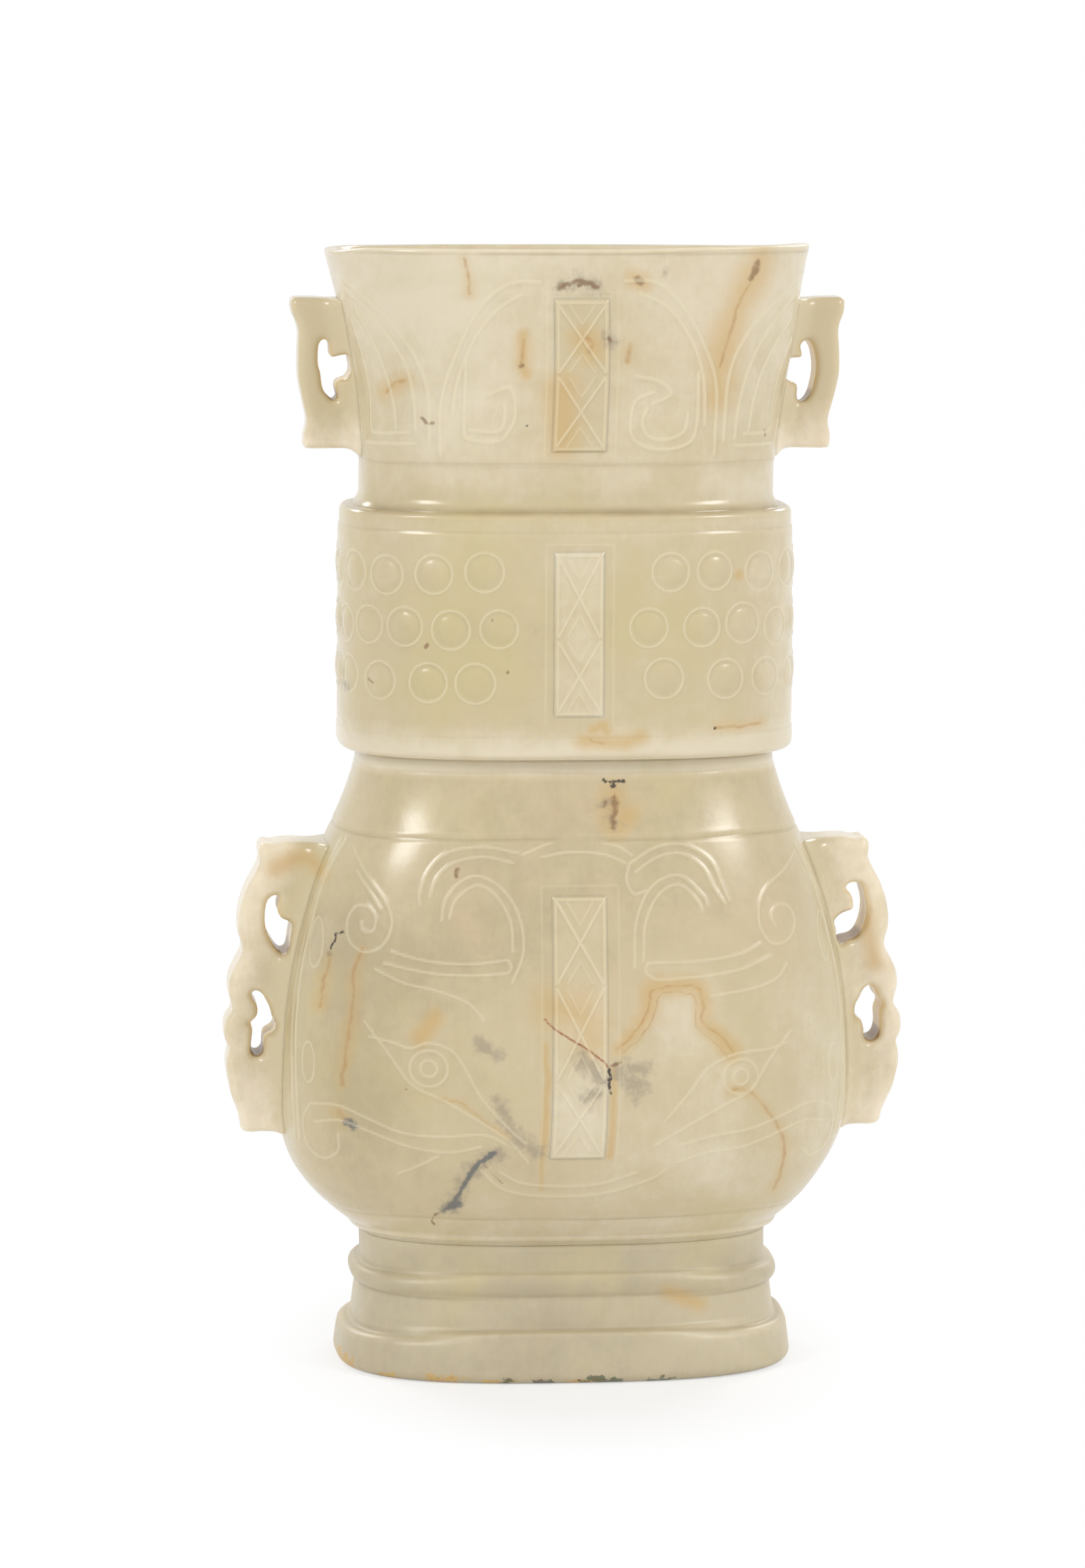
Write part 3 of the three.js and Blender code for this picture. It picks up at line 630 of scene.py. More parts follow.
# The collar with its bosses: u of each boss in each row, and the row's height
BOSS_ROWS = (
    (144.3, (-51.6, -43.4, -35.1, -25.9, -16.8, 16.3, 24.6, 34.2, 42.8, 50.8)),
    (134.8, (-54.4, -47.0, -39.2, -31.4, -22.8, -14.2, 12.4, 22.2, 30.4, 38.6, 46.6, 54.2)),
    (125.3, (-53.4, -45.6, -36.6, -26.9, -18.4, 15.2, 26.9, 35.8, 44.2, 52.2)),
)
BOSS_RADIUS = 2.6
BOSS_RISE = 0.4
# Groove and hoop round each boss: distance past its radius, half width and rise
BOSS_RINGS = ((0.25, 0.42, -0.26), (0.85, 0.42, 0.14))
COLLAR_LINE_Z = 115.6
COLLAR_LIP = 0.22
COLLAR_FOOT = 0.12
# How deep the collar's bore lies inside the neck's wall
COLLAR_SUNK = 0.25


def boss_heights(u, z):
    """Height of the bosses' domes, and of the grooves and hoops round them."""
    domes, rings = np.zeros(u.shape), np.zeros(u.shape)
    random = np.random.default_rng(8)
    for row_z, places in BOSS_ROWS:
        for place_u in places:
            off_z, size = random.normal(0, 0.25), random.uniform(0.94, 1.05)
            gap = np.hypot(u - place_u, z - row_z - off_z) / size
            domes += BOSS_RISE * np.clip(1 - (gap / BOSS_RADIUS) ** 2, 0, 1) ** 0.75
            for past, half, rise in BOSS_RINGS:
                rings += rise * bump(abs(gap - BOSS_RADIUS - past), half)
    return domes, rings


def edge_rings(turns, start_sizes, start_z, rise, run, lift):
    """Rings that roll over an edge of the collar, and then run level or sloping to its bore."""
    turn = np.linspace(0.2, 1, 6) * math.pi / 2
    inset = run * (1 - np.cos(turn))[:, None]
    edge = rings_at(start_z + rise * np.sin(turn), start_sizes - inset, turns)
    bore = wall_sizes(np.array((start_z + rise + lift,))) - COLLAR_SUNK
    flat_z = np.linspace(start_z + rise, start_z + rise + lift, 4)[1:]
    part = np.linspace(0, 1, 4)[1:, None]
    flat = rings_at(flat_z, (start_sizes - run) * (1 - part) + bore * part, turns)
    return list(edge) + list(flat)


def collar_mesh():
    """The studded band, as a closed loop of wall that fits round the neck."""
    low, high = SHOULDER_TOP_Z, COLLAR_TOP_Z
    turns = loop_turns(*COLLAR_COLUMNS)
    z = np.arange(low + 1.5, high - 1.1, 0.3)
    sizes = collar_sizes(z)
    lip = COLLAR_LIP * step_up(z, high - 3.8, high - 3.2)[:, None]
    foot = COLLAR_FOOT * (1 - step_up(z, COLLAR_LINE_Z - 0.3, COLLAR_LINE_Z + 0.3)[:, None])
    points, u, heights = ring_points(z, sizes - lip + foot, turns)
    domes, relief = boss_heights(u, heights)
    sway = 0.14 * np.sin(u / 8.0 + 2.0)
    for ring_z, half, depth in ((high - 3.5, 0.5, 0.24), (COLLAR_LINE_Z, 0.45, 0.2)):
        relief -= depth * bump(abs(heights + sway - ring_z), half)
    border = np.array(((-5.9, 117.8), (-5.9, 149.4), (6.1, 149.4), (6.1, 117.8)))
    raise_line(relief, u, heights, border, rise=BORDER_RISE)
    uneven = undulation(points, *COLLAR_WAVES)
    skin = pushed_out(points, domes + relief + uneven)
    top = edge_rings(turns, sizes[-1:] - COLLAR_LIP, z[-1], high - z[-1], 1.3, -0.1)
    bottom = edge_rings(turns, sizes[:1] + COLLAR_FOOT, z[0], low - z[0], 2.2, 0.0)[::-1]
    inside_z = np.linspace(high - 2, low + 2, 6)
    inside = rings_at(inside_z, wall_sizes(inside_z) - COLLAR_SUNK, turns)
    mesh = closed_skin("collar", bottom + list(skin) + top + list(inside), sleeve=True)
    set_carved(mesh, bottom, relief)
    return mesh


# The foot: remains of an old stand on its lower edge, as x, half width and height reached
RESIDUE = {
    "old_ochre": ((-40.0, 3.0, 3.4), (-33.0, 4.0, 1.4), (-23.0, 7.5, 2.4), (-14.0, 7.0, 1.3),
                  (2.0, 8.0, 1.0)),
    "old_green": ((-12.5, 3.0, 1.6), (-6.0, 5.0, 1.5), (5.0, 7.5, 1.8), (15.0, 5.0, 1.5)),
}
FOOT_ROWS = 132
# The foot's front turns into its ends between these distances from the middle.
FOOT_TURNS = (10.0, 40.0)


def foot_outline(end):
    """The foot's side from its seat down to the ceiling of its recess, as (height, distance out
    from the stem). The ledges lie lower at the ends, where end is 1, than in front, where it is 0.
    """
    def arc(centre_z, high, centre_out, wide, start, stop, count):
        angle = np.radians(np.linspace(start, stop, count))
        return [(centre_z + high * math.sin(a), centre_out + wide * math.cos(a)) for a in angle]

    seat = BELLY_FOOT_Z
    bead_top, bead_low = 19.3 - 1.0 * end, 14.9 - 0.3 * end
    ledge, corner = 9.3 - 1.3 * end, 0.7 + 0.7 * end
    half, middle = (bead_top - bead_low) / 2, (bead_top + bead_low) / 2
    path = [(seat, -1.2), (seat, -0.06), (seat - 0.1, 0), (bead_top + 0.8, 0), (bead_top, 0.1)]
    path += arc(middle, half, 0.3, 0.9 + 0.9 * end, 80, -80, 13)
    path += [(bead_low, 0.75), (bead_low - 0.5, 0.9), (ledge + 0.4, 1.6), (ledge, 1.75)]
    path += arc(ledge - corner, corner, 3.9 - corner, corner, 85, 0, 8)
    path += arc(1.7, 1.7, 2.8, 1.7, 0, -90, 8)
    path += [(0, 1.0), (0, -1.6), (0.4, -2.3), (1.4, -2.7), (6.6, -3.6), (7.3, -4.3), (7.5, -5.5)]
    return np.array(path)


def foot_mesh():
    """Stem, bead, cove and base with its recess, as one closed skin."""
    turns = loop_turns(*FOOT_COLUMNS)
    faces = []
    for end in (0, 1):
        outline = foot_outline(end)
        length = running_length(*np.diff(outline, axis=0).T)
        even = np.linspace(0, length[-1], FOOT_ROWS)
        z, out = np.interp(even, length, outline[:, 0]), np.interp(even, length, outline[:, 1])
        z[1:-1], out[1:-1] = ((a[:-2] + 2 * a[1:-1] + a[2:]) / 4 for a in (z, out))
        faces.append(rings_at(z[::-1], (STEM + out[:, None])[::-1], turns))
    part = step_up(abs(faces[0][:, :, :1]), *FOOT_TURNS)
    points = faces[0] * (1 - part) + faces[1] * part
    # The base's left end is carved a little lower.
    left = np.clip(-points[:, :, 0] / 40, 0, 1) ** 2
    points[:, :, 2] -= 1.0 * left * bump(abs(points[:, :, 2] - 8.4), 4.2)
    uneven = undulation(points, *FOOT_WAVES)
    fade = step_up(points[:, :, 2], 0.1, 1.5) * (1 - step_up(points[:, :, 2], 22.5, 24))
    points = pushed_out(points, uneven * fade)
    ceiling = [points[0] * (s, s, 1) for s in (0.3, 0.7)]
    seat = [points[-1] * (s, s, 1) for s in (0.8, 0.4)]
    mesh = closed_skin("foot", ceiling + list(points) + seat)
    x, y, z = get_points(mesh).T
    for kind, spots in RESIDUE.items():
        values = np.zeros(len(x))
        for centre, half_wide, top in spots:
            near = bump(abs(x - centre), half_wide) * (1 - step_up(z, 0.4 * top, 1.4 * top))
            values = np.maximum(values, near * (y < 0))
        set_field(mesh, kind, values)
    return mesh


# Flanges, front and back: name, lowest and highest z, the lines between the cells, half width,
# how pale it is, and whether it lies on the collar
FLANGES = (
    ("mouth_flange", 165.0, 192.4, (178.9,), 5.1, -0.25, False),
    ("collar_flange", 118.8, 148.4, (132.8,), 4.75, 0.45, True),
    ("belly_flange", 41.3, 88.1, (55.4, 72.2), 5.15, 0.4, False),
)
FLANGE_RISE = 0.3
FLANGE_DEPTH = 1.2
FLANGE_STEP = 0.22
FRAME_INSET = 0.9
FRAME_RISE = 0.14
RIB_HALF_WIDTH = 0.42
CROSS_RISE = 0.19
CHEVRON_RISE = 0.12
CHEVRON_PART = 0.55
# How much of the ribs' height counts for the painted highlight on their tops
FLANGE_TOP_HIGHLIGHT = 0.7
DIVIDER_DEPTH = 0.16
DIVIDER_HALF_WIDTH = 0.4
# The border starts at this height over the wall's surface, and slopes up over this width.
BORDER_START = -0.12
BORDER_SLOPE = 0.85


def cell_lines(half_width, low, high):
    """A cross from corner to corner, with a chevron nested over it and one under it."""
    lines = [((-half_width, low), (half_width, high)), ((-half_width, high), (half_width, low))]
    for edge, way in ((high, -1), (low, 1)):
        depth, reach = (high - low) / 2 * CHEVRON_PART, half_width * CHEVRON_PART
        lines.append(((-reach, edge), (0, edge + way * depth), (reach, edge)))
    return lines


def flange_carving(u, z, low, high, dividers, half_width):
    """Height of a flange's frame and crossed ribs, and of the grooves between its cells."""
    height = np.zeros(u.shape)
    inner, bottom, top = half_width - FRAME_INSET, low + FRAME_INSET, high - FRAME_INSET
    border = np.array(((-inner, bottom), (inner, bottom), (inner, top), (-inner, top)))
    raise_line(height, u, z, border, closed=True, rise=FRAME_RISE)
    for divider in dividers:
        line = np.array(((-half_width, divider), (half_width, divider)))
        height -= DIVIDER_DEPTH * bump(distance(u, z, line, 0.8), DIVIDER_HALF_WIDTH)
    edges = (bottom, *dividers, top)
    for cell_low, cell_high in zip(edges[:-1], edges[1:]):
        for number, line in enumerate(cell_lines(inner - 0.2, cell_low + 0.5, cell_high - 0.5)):
            rise = CROSS_RISE if number < 2 else CHEVRON_RISE
            raise_line(height, u, z, np.array(line, float), half=RIB_HALF_WIDTH, rise=rise)
    return height


def slab_mesh(name, front, back):
    """A closed mesh between two grids of points, its front and its back."""
    rows, columns, _ = front.shape
    size = rows * columns
    index = np.arange(size).reshape(rows, columns)
    quads = np.stack((index[:-1, :-1], index[:-1, 1:], index[1:, 1:], index[1:, :-1]), 2).reshape(-1, 4)
    rim = np.concatenate((index[0], index[1:, -1], index[-1, -2::-1], index[-2:0:-1, 0]))
    following = np.roll(rim, -1)
    border = np.stack((following, rim, rim + size, following + size), 1)
    faces = np.vstack((quads, quads[:, ::-1] + size, border)).tolist()
    return new_mesh(name, np.vstack((front.reshape(-1, 3), back.reshape(-1, 3))), faces)


def flange_mesh(name, low, high, dividers, half_width, milkiness, collar, turn):
    """A raised strip with cells of crossed ribs in a frame. It follows the wall that it lies on."""
    u_line = np.linspace(-half_width, half_width, int(2 * half_width / FLANGE_STEP) | 1)
    z_line = np.linspace(low, high, int((high - low) / FLANGE_STEP) | 1)
    z, u = np.meshgrid(z_line, u_line, indexing="ij")
    sizes = collar_sizes(z_line) if collar else wall_sizes(z_line)
    wide, deep = unit_section(abs(u) / quarter_length(sizes)[:, None])
    points = np.stack((sizes[:, :1] * wide * np.sign(u), -sizes[:, 1:] * deep, z), 2)
    normal = np.cross(np.gradient(points, axis=1), np.gradient(points, axis=0))
    normal /= np.linalg.norm(normal, axis=2, keepdims=True)

    to_border = np.minimum.reduce((half_width - abs(u), z - low, high - z))
    relief = flange_carving(u, z, low, high, dividers, half_width) * step_up(to_border, 0.1, 0.6)
    plateau = (FLANGE_RISE - BORDER_START) * step_up(to_border, 0.0, BORDER_SLOPE)
    side = np.array((-1, -1, 1) if turn else (1, 1, 1))
    waves = COLLAR_WAVES if collar else VESSEL_WAVES
    uneven = undulation(points * side, *waves)
    out = plateau + BORDER_START + relief + uneven
    front = points + normal * out[:, :, None]
    mesh = slab_mesh(name, front * side, (points - normal * FLANGE_DEPTH) * side)
    # The ribs' tops take the painted highlight.
    set_field(mesh, "carved", np.concatenate((relief.ravel() * FLANGE_TOP_HIGHLIGHT, np.zeros(u.size))))
    set_field(mesh, "milk", np.full(2 * u.size, milkiness))
    return mesh


# Handles: outlines as (distance from the axis, height), and the same for the openings of the left
# handle and of the right one
MOUTH_HANDLE = (
    (36, 191.2), (41, 191.3), (45.5, 191.6), (48.9, 191.6), (49.4, 191.1), (49.4, 189.8),
    (49.1, 188.4), (48.5, 187.1), (48.2, 185.2), (48.35, 182.2), (48.35, 178), (47.8, 175),
    (47.2, 172.4), (46.7, 170.5), (46.7, 169), (47.1, 167.2), (47.1, 165.3), (46.6, 164.8),
    (42.5, 164.8), (39.6, 164.8), (38.3, 164.4), (37.4, 163.6), (36.2, 163.4), (35.2, 164.4),
    (35.2, 177), (35.4, 189.6),
)
MOUTH_OPENINGS = (
    (((43.7, 184.3), (42.8, 183.5), (42.7, 181.1), (41.3, 181.2), (39.5, 181.6), (39.4, 180.4),
      (39.1, 179.3), (39.2, 178.1), (39.9, 177.3), (41.3, 177), (41.8, 176.3), (41.7, 175.2),
      (41.3, 174.1), (41.9, 173.3), (42.9, 174.1), (43.8, 175.1), (44.2, 176.6), (44.4, 178.4),
      (44.8, 179.5), (44.8, 182.5), (44.4, 183.9)),),
    (((42.3, 184), (43.2, 183.4), (43.8, 181.9), (44.1, 179.8), (44.1, 178.2), (43.8, 176.4),
      (43.4, 174.8), (42.5, 173.3), (41, 173), (40.8, 174.4), (40.9, 175.7), (40.3, 176.4),
      (39.4, 176.7), (38.6, 176.8), (38.4, 177.7), (38.7, 179), (38.6, 180.3), (39.5, 180.8),
      (41.4, 180.8), (41.6, 181.6), (41.2, 183)),),
)
BELLY_HANDLE = (
    (41.9, 94.3), (46.4, 94.5), (50.4, 94.6), (53, 94.2), (54.1, 94.5), (54.9, 93.9), (55.1, 92.4),
    (54.9, 91), (55.8, 88.9), (57.1, 86.5), (58.1, 83.9), (58.7, 81), (58.7, 78), (58, 75),
    (59.3, 72.3), (60.3, 70), (60.5, 67.3), (59.8, 64.2), (60.9, 62.5), (61.3, 60.5), (61.1, 58.6),
    (60.4, 57.3), (60.8, 55.5), (60.9, 53.4), (60.5, 51.1), (59.9, 48.6), (58.8, 46), (58.2, 44.2),
    (57.9, 42.6), (56.6, 41.9), (54, 42), (51.3, 42), (49, 41.8), (45.6, 41.8),
    (44.8, 42.8), (45.6, 56), (45.6, 72), (42, 88), (41, 93.4),
)
BELLY_OPENINGS = (
    (
        ((52.7, 84.8), (51.6, 85), (51.2, 84.3), (51.6, 83.4), (51.7, 82.2), (51.2, 81),
         (50.6, 80.6), (49.5, 80.4), (49.2, 79.6), (49.5, 77.6), (49.9, 74.9), (50.8, 74.3),
         (51.9, 75.2), (52.8, 76.7), (53.7, 78.6), (54, 80.8), (53.8, 82.9), (53.4, 84.2)),
        ((55.8, 67.8), (54.6, 67.4), (53.8, 66), (53.1, 64.6), (52.8, 63), (52.2, 62.2),
         (52.3, 60.5), (53.4, 59.9), (54.1, 59.5), (54.3, 58.2), (54.4, 56.3), (55.3, 55.7),
         (56.3, 56), (56.5, 57.5), (56.2, 60.8), (56.9, 61.8), (55.8, 62.6), (55.3, 63.5),
         (55.3, 64.7), (55.9, 65.8), (56.5, 66.7), (56.3, 67.6)),
    ),
    (
        ((51.9, 86.3), (53.7, 85.8), (54.3, 84.1), (54.7, 82.2), (54.6, 80.1), (54.1, 78.1),
         (53, 76.3), (51.1, 75.7), (49.8, 75.2), (48.8, 76.5), (48.8, 78.2), (48.3, 79.5),
         (49, 80), (50.4, 80.8), (52, 81.2), (52.3, 81.8), (52.1, 83.5), (51.5, 84.5),
         (50.7, 85.3)),
        ((55.4, 67.5), (56.4, 66.6), (56.9, 65.1), (57.7, 64.5), (57.8, 63.6), (57.3, 62.6),
         (57.3, 61.5), (57.4, 60.3), (57.3, 59), (56.9, 57.8), (55.7, 57.2), (54.5, 57.8),
         (54.4, 59.5), (54, 61), (53.6, 61.4), (52.8, 61.4), (52.7, 63.7), (53.5, 65.1),
         (54.3, 66.6)),
    ),
)
# Name, outline, openings, thickness, width of the rounded edge, paleness by height, how much darker
# the root is, and seed
HANDLES = (
    ("mouth_handle", MOUTH_HANDLE, MOUTH_OPENINGS, 8.5, 1.5, ((166, 0.6), (174, -0.5), (190, -0.8)),
     0.2, 41),
    ("belly_handle", BELLY_HANDLE, BELLY_OPENINGS, 11.0, 1.8, ((50, 0.8), (72, 1.1), (90, 1.0)),
     0.9, 51),
)
FIRST_VOXEL = 0.42
LAST_VOXEL = 0.36
# The openings' rounded edge is narrower than the outline's by this factor.
OPENING_EDGE = 0.7
# The root is thicker by this part of the thickness on each side, and grows from this part of it
# out from the wall.
ROOT_FLARE = 0.24
ROOT_RUN = 0.42
BORE_REACH = 1.4


def settled(obj):
    """The mesh that an object's modifiers or curve make, as a mesh of its own."""
    graph = bpy.context.evaluated_depsgraph_get()
    mesh = bpy.data.meshes.new_from_object(obj.evaluated_get(graph))
    bpy.data.objects.remove(obj)
    return mesh


def remeshed(mesh, voxel, smoothing):
    """The mesh rebuilt from even faces, with its corners eased."""
    obj = linked("rough", mesh)
    remesh = obj.modifiers.new("remesh", "REMESH")
    remesh.mode = "VOXEL"
    remesh.voxel_size = voxel
    ease = obj.modifiers.new("ease", "SMOOTH")
    ease.factor = 0.5
    ease.iterations = smoothing
    return settled(obj)


def plate_mesh(name, lines, thickness):
    """A flat plate inside the first line, pierced inside the others."""
    curve = bpy.data.curves.new(name, "CURVE")
    curve.dimensions = "2D"
    curve.fill_mode = "BOTH"
    curve.extrude = thickness / 2
    for line in lines:
        spline = curve.splines.new("POLY")
        spline.points.add(len(line) - 1)
        rows = np.tile((0.0, 0.0, 0.0, 1.0), (len(line), 1))
        rows[:, :2] = line
        spline.points.foreach_set("co", rows.ravel())
        spline.use_cyclic_u = True
    return remeshed(settled(linked(name, curve)), FIRST_VOXEL, 0)


def round_edges(mesh, border, holes, thickness, edge):
    """Thins the plate towards its outline and its openings, but not at its root in the wall."""
    co = get_points(mesh, 1)
    x, z = co[:, 0], co[:, 1]
    to_edge = distance(x, z, border, edge, True)
    for hole in holes:
        to_hole = distance(x, z, hole, edge * OPENING_EDGE, True)
        to_edge = np.minimum(to_edge, to_hole / OPENING_EDGE)
    drop = edge - np.sqrt(np.clip(edge ** 2 - (edge - to_edge) ** 2, 0, None))
    root = 1 - step_up(x - wall_sizes(z)[:, 0], 0.0, 1.6)
    limit = thickness / 2 - drop * (1 - root) * 0.85
    co[:, 2] = np.clip(co[:, 2], -limit, limit)
    set_points(mesh, co, 1)


def handle_mesh(name, outline, openings, thickness, edge, paleness, root_shade, seed, side):
    """A pierced plate with rounded edges and a soft root in the wall.

    It is shaped in millimetres as (distance from the axis, height, depth), and stood up at the end.
    """
    border = smooth_line(outline, closed=True, pieces=6)
    holes = [smooth_line(hole, closed=True, pieces=5) for hole in openings]
    mesh = plate_mesh(name, (border, *holes), thickness)
    round_edges(mesh, border, holes, thickness, edge)
    mesh = remeshed(mesh, LAST_VOXEL, 5)
    co = get_points(mesh, 1)
    x, z = co[:, 0], co[:, 1]
    gap = x - wall_sizes(z)[:, 0]
    flare = ROOT_FLARE * thickness * (1 - np.clip(gap / (ROOT_RUN * thickness), 0, 1)) ** 2
    co[:, 2] *= 1 + flare / (thickness / 2)
    # The openings' walls are marked for painted light, and their bottoms for dirt and painted shade
    grime_and_shade, bore = np.zeros(len(co)), np.zeros(len(co))
    for hole in holes:
        near = nearness(x, z, hole, BORE_REACH, True)
        bottom = hole[:, 1].min()
        bore = np.maximum(bore, near)
        grime_and_shade = np.maximum(grime_and_shade, near * (1 - step_up(z, bottom + 0.4, bottom + 3.4)))
    depth = np.clip((thickness / 2 - abs(co[:, 2])) / 2.0, 0, 1)
    stood = np.stack((side * x, -side * co[:, 2], z), 1)
    stood[:, 2] += undulation(stood, 0.1, seed + side)
    stood[:, 1] += undulation(stood, 0.16, seed + side + 1)
    set_points(mesh, stood)
    mesh.shade_smooth()
    set_field(mesh, "grime_and_shade", grime_and_shade * depth)
    set_field(mesh, "bore", bore * depth)
    set_field(mesh, "milk", by_height(z, paleness) - root_shade * (1 - step_up(gap, 0.5, 7.0)))
    return mesh


# A thin crack on the belly, followed by an ochre cloud, as (x, z)
LONG_VEIN = (
    (6.6, 61.2), (9, 63.5), (10.8, 65.9), (12, 68.2), (12.6, 71.2), (16.2, 71.9),
    (20.5, 71.8), (21.8, 68.6), (21.7, 65.6), (24.8, 63), (27.3, 59.9),
)
